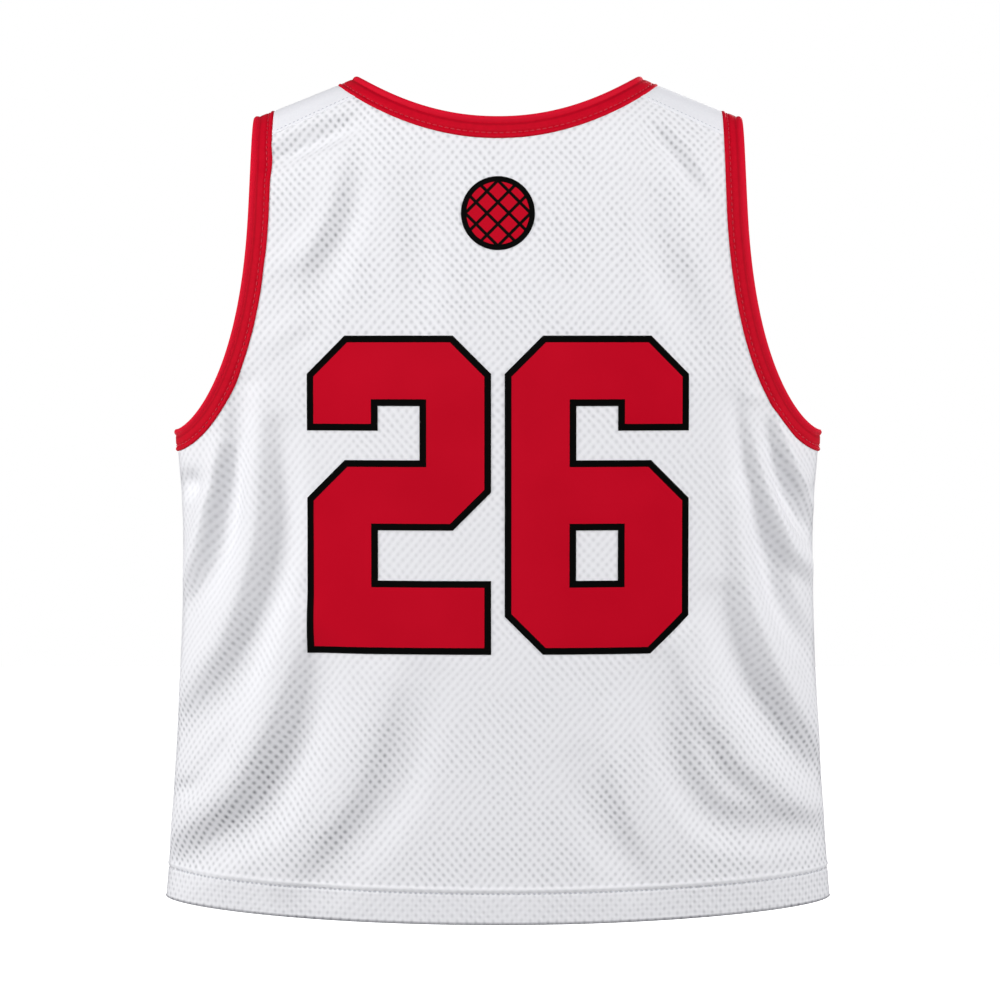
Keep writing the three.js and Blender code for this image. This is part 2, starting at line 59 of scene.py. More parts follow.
camera = bpy.data.objects.new("camera", bpy.data.cameras.new("camera"))
back = Vector((0.0, -math.cos(CAMERA_RISE), math.sin(CAMERA_RISE)))
camera.location = CAMERA_AIM + back * CAMERA_DISTANCE
camera.rotation_euler = back.to_track_quat("Z", "Y").to_euler()
camera.data.lens = CAMERA_LENS
camera.data.sensor_width = 36
bpy.context.collection.objects.link(camera)
bpy.context.scene.camera = camera


# ---- Studio ----
# A white room: a large soft lamp far round on each side, a third over the camera, a fourth behind
# the garment, and a nearly even surround. The backdrop and the floor, well below the hem, are white.

bpy.context.scene.view_settings.view_transform = "Standard"

FLOOR_HEIGHT = -1.25
FLOOR_HALF = 7.0


def srgb(hex_colour):
    """An sRGB hex colour as linear red, green, blue and alpha."""
    channels = [int(hex_colour[i:i + 2], 16) / 255 for i in (1, 3, 5)]
    return [c / 12.92 if c <= 0.04045 else ((c + 0.055) / 1.055) ** 2.4 for c in channels] + [1.0]


def node(tree, kind, inputs=(), **settings):
    """Adds a node with its settings, and links or sets its inputs."""
    made = tree.nodes.new(kind)
    for name, value in settings.items():
        setattr(made, name, value)
    for name, value in dict(inputs).items():
        if isinstance(value, bpy.types.NodeSocket):
            tree.links.new(value, made.inputs[name])
        else:
            made.inputs[name].default_value = value
    return made


def new_material(name):
    """A new material, and the empty tree to build it in."""
    material = bpy.data.materials.new(name)
    material.use_nodes = True
    material.node_tree.nodes.clear()
    return material, material.node_tree


def finish_surface(tree, colour, settings, relief=None, depth=None, strength=None):
    """Ends a material with its shader and output, and a bump if it has a relief of some depth."""
    if relief:
        bump = node(tree, "ShaderNodeBump", {"Height": relief, "Strength": strength, "Distance": depth})
        settings = {**settings, "Normal": bump.outputs[0]}
    shader = node(tree, "ShaderNodeBsdfPrincipled", {"Base Color": colour, **settings})
    node(tree, "ShaderNodeOutputMaterial", {"Surface": shader.outputs["BSDF"]})


floor_mesh = bpy.data.meshes.new("floor")
corners = [(-1, -1), (1, -1), (1, 1), (-1, 1)]
places = [(x * FLOOR_HALF, y * FLOOR_HALF, FLOOR_HEIGHT) for x, y in corners]
floor_mesh.from_pydata(places, [], [(0, 1, 2, 3)])
floor = bpy.data.objects.new("floor", floor_mesh)
bpy.context.collection.objects.link(floor)
floor.visible_diffuse = False

# Matt white studio vinyl, lit until it reads as plain white.
floor_vinyl, tree = new_material("studio_vinyl")
finish_surface(tree, srgb("#f4f4f4"), {
    "Roughness": 0.8, "Emission Color": srgb("#ffffff"), "Emission Strength": 0.9,
})
floor_mesh.materials.append(floor_vinyl)

SURROUND = 0.31                 # what the surround gives the cloth, on the whole
SURROUND_GAIN = (0.0, 0.08, -0.04)    # how much more of it comes from behind, and less from above
world = bpy.data.worlds.new("studio")
bpy.context.scene.world = world
world.use_nodes = True
tree = world.node_tree
tree.nodes.clear()
seen = node(tree, "ShaderNodeBackground", {"Color": srgb("#ffffff"), "Strength": 1.0})
way = node(tree, "ShaderNodeTexCoord").outputs["Generated"]
gain = node(tree, "ShaderNodeVectorMath", {0: way, 1: SURROUND_GAIN}, operation="DOT_PRODUCT")
strength = node(tree, "ShaderNodeMath", {0: gain.outputs["Value"], 1: SURROUND}, operation="ADD").outputs[0]
felt = node(tree, "ShaderNodeBackground", {"Color": srgb("#fbfbff"), "Strength": strength})
ray = node(tree, "ShaderNodeLightPath")
mixed = node(tree, "ShaderNodeMixShader", {
    0: ray.outputs["Is Camera Ray"], 1: felt.outputs[0], 2: seen.outputs[0],
})
node(tree, "ShaderNodeOutputWorld", {"Surface": mixed.outputs[0]})

# Each lamp's place and size in metres, and its power in watts.
LAMPS = {
    "lamp_left": {"place": (-2.65, -0.95, 0.6), "size": 1.2, "power": 45},
    "lamp_right": {"place": (2.65, -0.95, 0.6), "size": 1.2, "power": 41},
    "lamp_above": {"place": (-0.35, -3.2, 0.7), "size": 1.2, "power": 46},
    "lamp_behind": {"place": (1.3, 3.0, 0.9), "size": 1.2, "power": 46},
}
for name, lamp in LAMPS.items():
    light = bpy.data.lights.new(name, "AREA")
    light.size = lamp["size"]
    light.energy = lamp["power"]
    holder = bpy.data.objects.new(name, light)
    holder.location = lamp["place"]
    holder.rotation_euler = (Vector(lamp["place"]) - CAMERA_AIM).to_track_quat("Z", "Y").to_euler()
    bpy.context.collection.objects.link(holder)


# ---- Mesh panels ----
# The back and the front are each one piece of white polyester warp knit with open holes. They are
# cut on the same form, meet at the side seams, and are turned up inside at the hem and stitched.

MM = 0.001
BACK, FRONT = -1, 1             # the side that faces -Y, and the one that faces +Y

# The garment's section at each height: half its width between the side seams, and how far the
# back and the front stand out from the line between them.
SECTIONS = [
    {"height": -700, "half_width": 282.8, BACK: 97, FRONT: 102},
    {"height": -650, "half_width": 278.6, BACK: 95, FRONT: 100},
    {"height": -555, "half_width": 271.9, BACK: 91, FRONT: 96},
    {"height": -460, "half_width": 266.9, BACK: 89, FRONT: 94},
    {"height": -390, "half_width": 265.1, BACK: 88, FRONT: 94},
    {"height": -345, "half_width": 265.9, BACK: 88.5, FRONT: 95},
    {"height": -300, "half_width": 269.0, BACK: 89, FRONT: 96},
    {"height": -200, "half_width": 270.0, BACK: 88, FRONT: 93},
    {"height": -100, "half_width": 267.0, BACK: 78, FRONT: 80},
    {"height": 0, "half_width": 262.0, BACK: 64, FRONT: 62},
    {"height": 60, "half_width": 258.0, BACK: 58, FRONT: 56},
]
SHOULDER_POINT = 132.5          # from the middle to where a shoulder line meets the neck binding
SHOULDER_SLOPE = 0.41           # fall of the shoulder line for each millimetre outwards
SHOULDER_EASE = 40              # how softly the two shoulder lines would meet over the neck
SHOULDER_ROUND = 85             # height over which back and front round over into each other
NECK_HALF = 116.0               # half the neck opening, at the shoulders
NECK_DROP = {BACK: 30, FRONT: 104}
NECK_CURVE = {BACK: 2.1, FRONT: 2.6}
ARMHOLE_TOP = 203.2             # half-width between the armholes, at the shoulders
ARMHOLE_FOOT = -286             # height of the underarm
ARMHOLE_HOOK = 2.9              # how late the armhole starts to sweep outwards
ARMHOLE_SWEEP = 0.645           # how flat it runs into the underarm
FRONT_SCOOP = 9                 # how much further in the front armhole is cut
TUCK_IN = 9                     # from a binding's fold to the raw edge inside it
YOKE_DROP_NECK = 18             # fall from the shoulder line to the yoke seam, at the neck
YOKE_DROP_ARM = 23              # and at the armhole
SEAM_ALLOWANCE = 5              # panel cloth that runs on under the yoke
HEM_HEIGHT = -680               # of the hem's lowest edge, at the side seams
HEM_DROP = 7.5                  # how much lower it hangs at the middle
HEM_DEPTH = 27                  # cloth turned up inside
HEM_STITCH = 25.5               # from the hem's edge up to its stitches
HEM_ROLL = 1.3                  # radius of the turned edge
HEM_BAND = 40                   # the hem and what lies just above it, meshed finely

levels = np.array([row["height"] for row in SECTIONS], float)


def section(name, z):
    """One column of SECTIONS at some heights, as a smooth curve through its rows."""
    values = np.array([row[name] for row in SECTIONS], float)
    last = len(levels) - 1
    row = np.clip(np.searchsorted(levels, z, side="left") - 1, 0, last - 1)

    def pick(table, i):
        return table[np.clip(i, 0, last)]

    def slope(i):
        return (pick(values, i + 1) - pick(values, i - 1)) / (pick(levels, i + 1) - pick(levels, i - 1))

    span = pick(levels, row + 1) - pick(levels, row)
    t = (z - pick(levels, row)) / span
    rise = t * t * (3 - 2 * t)
    leave = t * (1 - t) ** 2 * span
    arrive = -t * t * (1 - t) * span
    start, end = pick(values, row), pick(values, row + 1)
    return start * (1 - rise) + end * rise + slope(row) * leave + slope(row + 1) * arrive


def shoulder_line(x):
    """Height of the shoulder line, or of its soft continuation over the neck."""
    return SHOULDER_SLOPE * (math.hypot(SHOULDER_POINT, SHOULDER_EASE) - np.hypot(x, SHOULDER_EASE))


def rounded_share(x, z):
    """Squared share of the full depth that is left near the shoulder line."""
    return 1 - np.maximum(0, 1 - (shoulder_line(x) - z) / SHOULDER_ROUND) ** 2


def form_level(p):
    """Negative inside the garment's form, zero on it and positive outside."""
    x, y, z = p[..., 0], p[..., 1], p[..., 2]
    depth = np.where(y < 0, section(BACK, z), section(FRONT, z))
    return (y / depth) ** 2 - (1 - (x / section("half_width", z)) ** 2) * rounded_share(x, z)


def form_slope(p):
    """The form's slope at some points, which points outwards."""
    step = 0.05
    ways = np.eye(3) * step
    return np.stack([(form_level(p + way) - form_level(p - way)) / (2 * step) for way in ways], axis=-1)


def form_point(side, x, z):
    """The points of the form at x and z, on the back or on the front."""
    x, z = np.broadcast_arrays(np.asarray(x, float), np.asarray(z, float))
    share = np.maximum(0, (1 - (x / section("half_width", z)) ** 2) * rounded_share(x, z))
    return np.stack([x, side * section(side, z) * np.sqrt(share), z], axis=-1)


def smoothstep(value, low, high):
    """Rises softly from 0 at the low value to 1 at the high one."""
    t = np.clip((value - low) / (high - low), 0, 1)
    return t * t * (3 - 2 * t)


# The folds, each a soft ridge or trough along a bent line on the panel: the line's points, how far
# the fold stands out (negative for a trough), and its reach from the line to the fold's foot. They
# hang from the armholes and shoulders and run out to the side seams and the hem.
FOLDS = {
    BACK: [
        ([(-268, -327), (-257, -331), (-246, -328)], -6.5, 17),
        ([(-229, -300), (-239, -342), (-249, -380), (-264, -414)], 6.4, 15),
        ([(-208, -250), (-214, -302), (-222, -352), (-232, -396), (-268, -452)], -7.6, 19),
        ([(-196, -262), (-196, -325), (-200, -378), (-228, -455), (-268, -506)], 7.4, 22),
        ([(-176, -290), (-175, -360), (-183, -410), (-214, -490), (-270, -550)], -6.8, 24),
        ([(-164, -440), (-182, -500), (-199, -542), (-220, -577), (-272, -624)], 8.7, 27),
        ([(-140, -470), (-157, -530), (-175, -572), (-202, -611), (-272, -652)], -8.3, 28),
        ([(-98, -492), (-112, -542), (-130, -588), (-180, -650)], 5.6, 29),
        ([(-58, -492), (-70, -545), (-90, -595), (-140, -655)], -5.3, 30),
        ([(-270, -590), (-256, -586), (-243, -578)], -3.4, 14),
        ([(268, -336), (260, -338)], -5.0, 13),
        ([(228, -276), (239, -304), (252, -329), (268, -352)], 6.2, 13),
        ([(214, -270), (224, -304), (232, -329), (245, -354), (270, -384)], -7.8, 15),
        ([(208, -262), (219, -325), (238, -377), (272, -412)], 8.2, 16),
        ([(198, -266), (209, -329), (218, -379), (231, -430), (264, -484)], -8.4, 21),
        ([(197, -340), (206, -416), (221, -462), (241, -502), (268, -545)], 8.6, 23),
        ([(179, -425), (199, -482), (211, -507), (227, -533), (268, -583)], -8.6, 24),
        ([(154, -455), (171, -508), (187, -534), (200, -556), (232, -582), (272, -606)], 6.6, 24),
        ([(128, -480), (140, -543), (159, -587), (192, -613), (272, -622)], -6.6, 26),
        ([(100, -520), (108, -580), (128, -640)], 4.2, 26),
        ([(66, -560), (84, -610), (110, -650)], -4.2, 27),
        ([(-110, -56), (-118, -104), (-136, -154), (-158, -204)], -4.6, 23),
        ([(-128, -66), (-138, -110), (-160, -142), (-184, -154)], 3.2, 19),
        ([(-138, -172), (-162, -198), (-190, -216)], 2.0, 18),
        ([(-66, -90), (-62, -140), (-60, -190)], -4.4, 26),
        ([(-112, -33), (-138, -43), (-164, -54), (-186, -67)], -8.2, 15),
        ([(124, -62), (126, -122), (142, -174), (164, -224)], -4.4, 24),
        ([(158, -92), (164, -142), (180, -186)], 2.4, 18),
        ([(124, -38), (146, -62), (166, -96)], -5.9, 13),
    ],
    FRONT: [
        ([(-200, -240), (-214, -300), (-230, -366), (-254, -430)], -5.0, 22),
        ([(-184, -262), (-194, -360), (-222, -446), (-256, -494)], 5.3, 25),
        ([(-158, -300), (-172, -420), (-206, -500), (-254, -556)], -4.8, 26),
        ([(-140, -440), (-166, -530), (-206, -586), (-256, -618)], 5.9, 29),
        ([(-104, -460), (-132, -552), (-178, -618), (-244, -652)], -6.4, 31),
        ([(-44, -480), (-66, -570), (-110, -655)], -4.8, 34),
        ([(204, -240), (218, -322), (254, -402)], -4.8, 21),
        ([(180, -262), (194, -380), (222, -440), (258, -482)], 5.6, 25),
        ([(152, -360), (176, -470), (210, -530), (256, -570)], -5.9, 28),
        ([(120, -470), (150, -556), (200, -606), (250, -630)], 5.6, 29),
        ([(70, -480), (92, -566), (134, -650)], -5.0, 34),
        ([(-120, -150), (-134, -200), (-160, -240)], -3.6, 24),
        ([(112, -150), (128, -206), (158, -244)], -3.4, 24),
    ],
}
FOLD_FADE = (3, 25)             # how far from the side seams and shoulders folds start, and are whole
FOLD_ENDS = 0.12                # share of a fold's swell that is cut off at each end


def smooth_line(points, count):
    """A bent line's points, joined by a smooth curve and spaced evenly in its parameter."""
    points = np.array(points, float)
    padded = np.vstack([2 * points[0] - points[1], points, 2 * points[-1] - points[-2]])
    made = []
    for t in np.linspace(0, len(points) - 1, count):
        i = min(int(t), len(points) - 2)
        u = t - i
        a, b, c, d = padded[i:i + 4]
        bend = (2 * a - 5 * b + 4 * c - d) * u**2 + (3 * b - a - 3 * c + d) * u**3
        made.append(0.5 * (2 * b + (c - a) * u + bend))
    return np.array(made)


def fold_height(side, x, z):
    """How far the folds push the cloth outwards at some points of one side."""
    height = np.zeros(np.shape(x))
    for points, depth, reach in FOLDS[side]:
        line = smooth_line(points, 15)
        nearest = np.full(np.shape(x), np.inf)
        along = np.zeros(np.shape(x))
        for i, (start, end) in enumerate(zip(line, line[1:])):
            way = end - start
            t = np.clip(((x - start[0]) * way[0] + (z - start[1]) * way[1]) / (way @ way), 0, 1)
            distance = np.hypot(x - start[0] - t * way[0], z - start[1] - t * way[1])
            closer = distance < nearest
            nearest = np.where(closer, distance, nearest)
            along = np.where(closer, (i + t) / (len(line) - 1), along)
        profile = 0.5 + 0.5 * np.cos(np.pi * np.minimum(nearest / reach, 1))
        height += depth * profile * np.sin(np.pi * (FOLD_ENDS + (1 - 2 * FOLD_ENDS) * along))
    return height


def fold_shaded_flank(side, x, z):
    """How steeply the folds fall away down and inwards: where they fall the knit is painted in shade, and
    where they rise, lighter.
    """
    down_and_in = (-0.8 * np.sign(x), -0.6)
    step = 2.0
    ahead = fold_height(side, x + step * down_and_in[0], z + step * down_and_in[1])
    return (fold_height(side, x, z) - ahead) / step


def on_cloth(p, out):
    """Points of the form moved to the cloth's folded outer face, and a further distance out."""
    slope = form_slope(p)
    normal = slope / np.linalg.norm(slope, axis=-1, keepdims=True)
    height = np.zeros(p.shape[:-1])
    for side in (BACK, FRONT):
        here = p[..., 1] < 0 if side == BACK else p[..., 1] >= 0
        height = np.where(here, fold_height(side, p[..., 0], p[..., 2]), height)
    height = height * smoothstep(np.abs(p[..., 1]), *FOLD_FADE)
    return p + normal * (height + out)[..., None]


def panel_half_width(side, z, inset):
    """Half-width of the panel up the side seam and then round the armhole, edge set in by some way."""
    foot = ARMHOLE_FOOT - inset
    at_foot = section("half_width", np.full(np.shape(z), float(foot)))
    top = ARMHOLE_TOP - inset
    line = shoulder_line(top)
    down = np.clip((line - z) / (line - foot), 0, 1)
    sweep = 1 - (1 - down**ARMHOLE_HOOK) ** ARMHOLE_SWEEP
    scoop = FRONT_SCOOP * np.sin(np.pi * down) ** 2 if side == FRONT else 0
    return np.where(z <= foot, section("half_width", z), top + (at_foot - top) * sweep - scoop)


def neck_edge(side, x, inset):
    """Height of the neck edge at x, set in by some way."""
    half, drop = NECK_HALF + inset, NECK_DROP[side] + inset
    share = np.minimum(1, np.abs(x) / half) ** NECK_CURVE[side]
    return -drop + (drop + shoulder_line(half)) * share


def yoke_seam(x):
    """Height of the seam between a panel and the yokes, at x."""
    out = (np.abs(x) - NECK_HALF) / (ARMHOLE_TOP - NECK_HALF)
    return shoulder_line(x) - (YOKE_DROP_NECK + (YOKE_DROP_ARM - YOKE_DROP_NECK) * out)


def hem_edge(x):
    """Height of the hem's lowest edge at x."""
    across = x / section("half_width", np.full(np.shape(x), float(HEM_HEIGHT)))
    return HEM_HEIGHT - HEM_DROP * np.maximum(0, 1 - across**2)


CHEST = -300.0                  # height at which the flat cloth's heights are the form's


def cloth_map(side, x, z):
    """Where points of the form lie on the flat cloth: across from the middle, and up it."""
    steps = 28
    half = section("half_width", z)
    reach = np.arcsin(np.clip(x / half, -1, 1))
    across = np.zeros(np.shape(x))
    before = form_point(side, 0 * x, z)
    for i in range(1, steps + 1):
        here = form_point(side, half * np.sin(reach * i / steps), z)
        across += np.hypot(here[..., 0] - before[..., 0], here[..., 1] - before[..., 1])
        before = here
    start = np.full(np.shape(x), CHEST)
    share = x / half
    up = np.zeros(np.shape(x))
    before = form_point(side, share * section("half_width", start), start)
    for i in range(1, steps + 1):
        level = start + (z - start) * i / steps
        here = form_point(side, share * section("half_width", level), level)
        up += np.linalg.norm(here - before, axis=-1)
        before = here
    return np.stack([np.sign(x) * across, start + np.sign(z - start) * up], axis=-1)


def add_object(name, mesh, material):
    """Puts a smooth mesh of one material in the scene."""
    mesh.polygons.foreach_set("use_smooth", [True] * len(mesh.polygons))
    mesh.materials.append(material)
    made = bpy.data.objects.new(name, mesh)
    bpy.context.collection.objects.link(made)
    return made


def cloth_mesh(name, points, maps, material, closed=False):
    """A cloth from a grid of points in millimetres, with its named maps, such as its flat cloth."""
    rows, columns = points.shape[:2]
    mesh = bpy.data.meshes.new(name)
    i, j = np.meshgrid(np.arange(rows - (0 if closed else 1)), np.arange(columns - 1), indexing="ij")
    here, after = i * columns + j, (i + 1) % rows * columns + j
    faces = np.stack([here, here + 1, after + 1, after], axis=-1)
    mesh.from_pydata((points.reshape(-1, 3) * MM).tolist(), [], faces.reshape(-1, 4).tolist())
    for map_name, flat in maps.items():
        layer = mesh.uv_layers.new(name=map_name)
        flat_corners = np.stack([flat[i, j], flat[i, j + 1], flat[i + 1, j + 1], flat[i + 1, j]], axis=2)
        layer.data.foreach_set("uv", flat_corners.reshape(-1).astype(np.float32))
    return add_object(name, mesh, material)


def outwards(obj):
    """Turns an open cloth's faces to look away from the garment's middle."""
    mesh = obj.data
    normals = np.array([p.normal for p in mesh.polygons])
    centres = np.array([p.center for p in mesh.polygons])
    if (normals[:, 1] * centres[:, 1]).sum() < 0:
        mesh.flip_normals()
    return obj


# Reliefs: how high each part stands (negative for a dip), where its middle is, and how wide it is.
HEM_RELIEF = [                  # by height above the hem's edge
    (-0.6, HEM_STITCH, 1.2),    # a row of stitches draws both layers in
    (0.7, HEM_STITCH + 3.4, 1.8),    # and single cloth puffs up above it
]
SEAM_RELIEF = [(-0.9, 0, 7)]    # the side seam draws the cloth in along a narrow groove


def relief_at(way, parts):
    """How high the parts of a relief stand together at some places along the way."""
    return sum(height * np.exp(-(((way - middle) / width) ** 2)) for height, middle, width in parts)


def way_along(points):
    """How far each point of a line is from its start, along it."""
    return np.concatenate([[0], np.cumsum(np.linalg.norm(np.diff(points, axis=0), axis=1))])


COLUMN_OVAL = (270, 88)         # half-width and depth of the oval on which columns are evenly spaced
FINE_ROWS = [(HEM_ROLL, 5, 0.3), (5, 22, 1.2), (22, 34, 0.5), (34, HEM_BAND, 1.5)]    # from, to, spacing
FIRST_GUESS = -400.0            # of a row's height, before it settles


def panel_grid(side, columns, rows):
    """A panel's points, from the turned-up hem to the top, and its maps: its place on the flat
    cloth, its height above the hem's edge, and the fall of its folds and its way from the side
    seam, which place painted shade."""
    angle = np.linspace(-math.pi / 2, math.pi / 2, 2001)
    girth = way_along(np.stack([np.sin(angle), np.cos(angle)], axis=1) * COLUMN_OVAL)
    share = np.sin(np.interp(np.linspace(0, girth[-1], columns), girth, angle))
    x_top = share * (ARMHOLE_TOP - TUCK_IN)
    seam_height = yoke_seam(x_top) + SEAM_ALLOWANCE
    in_neck = np.abs(x_top) < NECK_HALF + TUCK_IN
    top_edge = np.where(in_neck, np.minimum(neck_edge(side, x_top, TUCK_IN), seam_height), seam_height)

    # Each row's height above the hem's edge, its share of the way on from there to the top, how
    # far out it lies, and whether it is in the turned-up cloth.
    levels_up = [(lap, 0, -2 * HEM_ROLL, True) for lap in np.linspace(HEM_DEPTH, HEM_ROLL, 10)]
    for turn in np.linspace(0, math.pi, 7)[1:-1]:
        levels_up.append((HEM_ROLL * (1 - math.sin(turn)), 0, -HEM_ROLL * (1 + math.cos(turn)), False))
    levels_up += [(rise, 0, 0, False) for band in FINE_ROWS for rise in np.arange(*band)]
    levels_up += [(HEM_BAND, share_up, 0, False) for share_up in np.linspace(0, 1, rows)]

    forms, outs, inside, heights = [], [], [], []
    for rise, share_up, out, lapped in levels_up:
        z = np.full(columns, FIRST_GUESS)
        for _ in range(7):
            x = share * panel_half_width(side, z, TUCK_IN)
            z = hem_edge(x) + rise + share_up * (top_edge - hem_edge(x) - HEM_BAND)
        forms.append(form_point(side, x, z))
        outs.append(np.full(columns, float(out)))
        inside.append(np.full(columns, lapped))
        heights.append(z - hem_edge(x))
    form, out, lapped, above = np.array(forms), np.array(outs), np.array(inside), np.array(heights)
    seam = relief_at(form[..., 1], SEAM_RELIEF) * (form[..., 2] < ARMHOLE_FOOT)
    relief = np.where(out < 0, 0, relief_at(above, HEM_RELIEF) + seam)
    flat = cloth_map(side, form[..., 0], form[..., 2])
    flat[..., 1] -= np.where(lapped, 2 * above, 0)
    hem_map = np.stack([flat[..., 0], np.where(lapped, -above, above)], axis=-1)
    # The folds' fall and the way from the side seam, which place the knit's painted shade.
    shade_marks_map = np.stack([fold_shaded_flank(side, form[..., 0], form[..., 2]), np.abs(form[..., 1])], axis=-1)
    return on_cloth(form, out + relief), {"cloth": flat, "hem": hem_map, "strain": shade_marks_map}


PITCH_ACROSS = 7.4              # between the knit's holes in a row
PITCH_UP = 8.4                  # between one row of holes and the next but one
NEEDLE_PITCH = 4.2              # between the needle's holes along the hem
ROW_DRIFT = 4.0                 # how far the rows of holes wander, from side to side
TIGHTEST = -380                 # height on the flat cloth where its holes are drawn most shut
TIGHTEST_HEM = HEM_STITCH + 2.8    # and height above the hem's edge where they are
HOLE_SHARPNESS = 1.25           # how steeply a hole's shade falls off
HOLE_SHADE = 0.315              # how dark an open hole is
FLOAT_SHADE = 0.065             # how dark the floats are between themselves


def mesh_knit(name):
    """Polyester warp knit, bleached white: staggered oval holes on two slanting sets of floats.
    To the eye it is a soft matt white with grey dots, which fade where the hem lies double."""
    material, tree = new_material(name)
    # The third map places painted shade: the folds' lower flanks and the side seams.
    flat, lapped, strain = [
        node(tree, "ShaderNodeUVMap", uv_map=word).outputs["UV"] for word in ("cloth", "hem", "strain")]
    (across, height, _), (along_hem, above_hem, _), (shaded_flank, from_seam, _) = [
        node(tree, "ShaderNodeSeparateXYZ", {0: place}).outputs for place in (flat, lapped, strain)]

    # The holes lie where the two sets of slanting floats cross, and the rows drift a little.
    drift = node(tree, "ShaderNodeTexNoise", {"Vector": flat, "Scale": 0.045, "Detail": 1.0})
    shift = node(tree, "ShaderNodeVectorMath", {
        0: drift.outputs["Color"], 1: (0.5, 0.5, 0.5)}, operation="SUBTRACT")
    moved = node(tree, "ShaderNodeVectorMath", {
        0: shift.outputs[0], 1: (ROW_DRIFT, ROW_DRIFT, 0.0), 2: flat}, operation="MULTIPLY_ADD")
    floats = []
    for slant in (1, -1):
        phase = node(tree, "ShaderNodeVectorMath", {
            0: moved.outputs[0], 1: (math.tau / PITCH_ACROSS, slant * math.tau / PITCH_UP, 0),
        }, operation="DOT_PRODUCT").outputs["Value"]
        wave = node(tree, "ShaderNodeMath", {0: phase}, operation="COSINE").outputs[0]
        share = node(tree, "ShaderNodeMath", {0: wave, 1: 0.5, 2: 0.5}, operation="MULTIPLY_ADD")
        floats.append(share.outputs[0])
    crossing = node(tree, "ShaderNodeMath", {0: floats[0], 1: floats[1]}, operation="MULTIPLY").outputs[0]
    hole = node(tree, "ShaderNodeMath", {0: crossing, 1: HOLE_SHARPNESS}, operation="POWER").outputs[0]

    # Where the hem lies double, the holes of the cloth inside it show between its own.
    gaps = [node(tree, "ShaderNodeMath", {0: 1.0, 1: f}, operation="SUBTRACT").outputs[0] for f in floats]
    between = node(tree, "ShaderNodeMath", {0: gaps[0], 1: gaps[1]}, operation="MULTIPLY").outputs[0]
    doubled = node(tree, "ShaderNodeMapRange", {
        "Value": above_hem, "From Min": HEM_STITCH - 1, "From Max": HEM_STITCH + 1,
        "To Min": 0.45, "To Max": 0.0,
    }).outputs["Result"]
    shown = node(tree, "ShaderNodeMath", {
        0: between, 1: doubled, 2: hole}, operation="MULTIPLY_ADD").outputs[0]

    # Below the number the knit is pulled flat down the middle, and hangs looser towards the seams.
    from_middle, from_tightest, from_stitches, from_tight_hem = [
        node(tree, "ShaderNodeMath", {
            0: node(tree, "ShaderNodeMath", {0: value, 1: line}, operation="SUBTRACT").outputs[0],
        }, operation="ABSOLUTE").outputs[0]
        for value, line in (
            (across, 0.0), (height, TIGHTEST), (above_hem, HEM_STITCH), (above_hem, TIGHTEST_HEM))]
    aside = node(tree, "ShaderNodeMapRange", {
        "Value": from_middle, "From Min": 60.0, "From Max": 210.0, "To Min": 0.86, "To Max": 1.25})
    below = node(tree, "ShaderNodeMapRange", {"Value": height, "From Min": -430.0, "From Max": -520.0})
    looser = node(tree, "ShaderNodeMix", {
        "Factor": below.outputs["Result"], 2: 1.0, 3: aside.outputs["Result"]}).outputs[0]
    shown = node(tree, "ShaderNodeMath", {0: shown, 1: looser}, operation="MULTIPLY").outputs[0]

    # What else shuts and opens the holes: a measure, the two values between which it counts, the
    # share of the holes that is open at each, and how that changes between them. Single holes
    # differ, and so do broad patches. The cloth halfway down is drawn tight. On the folds' lower
    # flanks the holes open wider as painted shade, and on their upper flanks they close as painted
    # light. Near the shoulders the yokes hold it flat. The hem lies double up to its stitches, and
    # on the puff above them the holes close as a painted highlight.
    uneven = node(tree, "ShaderNodeTexNoise", {"Vector": flat, "Scale": 0.09, "Detail": 2.0}).outputs["Fac"]
    broad = node(tree, "ShaderNodeTexNoise", {"Vector": flat, "Scale": 0.014, "Detail": 1.0}).outputs["Fac"]
    pulls = [
        (uneven, (0.3, 0.7), (0.6, 1.1), "LINEAR"),
        (broad, (0.4, 0.6), (1.15, 0.75), "LINEAR"),
        (from_tightest, (60, 240), (0.45, 1.0), "SMOOTHSTEP"),
        # Painted shade on the folds' lower flanks, painted light on their upper ones.
        (shaded_flank, (-0.3, 0.4), (0.6, 1.5), "LINEAR"),
        (height, (-240, -110), (1.0, 0.88), "LINEAR"),
        (above_hem, (HEM_STITCH - 1, HEM_STITCH + 1), (0.75, 1.0), "LINEAR"),
        # Painted highlight on the puff above the hem's stitches.
        (from_tight_hem, (1.0, 2.8), (0.2, 1.0), "SMOOTHSTEP"),
    ]
    for measure, (near, far), (at_near, at_far), change in pulls:
        share = node(tree, "ShaderNodeMapRange", {
            "Value": measure, "From Min": near, "From Max": far, "To Min": at_near, "To Max": at_far,
        }, interpolation_type=change).outputs["Result"]
        shown = node(tree, "ShaderNodeMath", {0: shown, 1: share}, operation="MULTIPLY").outputs[0]

    # One slant of the floats shows more here, the other there.
    leaning = node(tree, "ShaderNodeMapRange", {"Value": broad, "From Min": 0.42, "From Max": 0.58})
    grain = node(tree, "ShaderNodeMix", {
        "Factor": leaning.outputs["Result"], 2: floats[0], 3: floats[1]}).outputs[0]

    # The needle leaves a row of dents along the hem, and shade is painted in them as darker spots.
    beat = node(tree, "ShaderNodeMath", {0: along_hem, 1: math.tau / NEEDLE_PITCH}, operation="MULTIPLY")
    dent = node(tree, "ShaderNodeMath", {0: beat.outputs[0]}, operation="COSINE").outputs[0]
    dent_shade = node(tree, "ShaderNodeMath", {0: dent, 1: 0.13, 2: 0.13}, operation="MULTIPLY_ADD").outputs[0]
    on_line = node(tree, "ShaderNodeMapRange", {
        "Value": from_stitches, "From Min": 1.5, "From Max": 0.3}, interpolation_type="SMOOTHSTEP")
    painted_shade = node(tree, "ShaderNodeMath", {
        0: dent_shade, 1: on_line.outputs["Result"]}, operation="MULTIPLY").outputs[0]
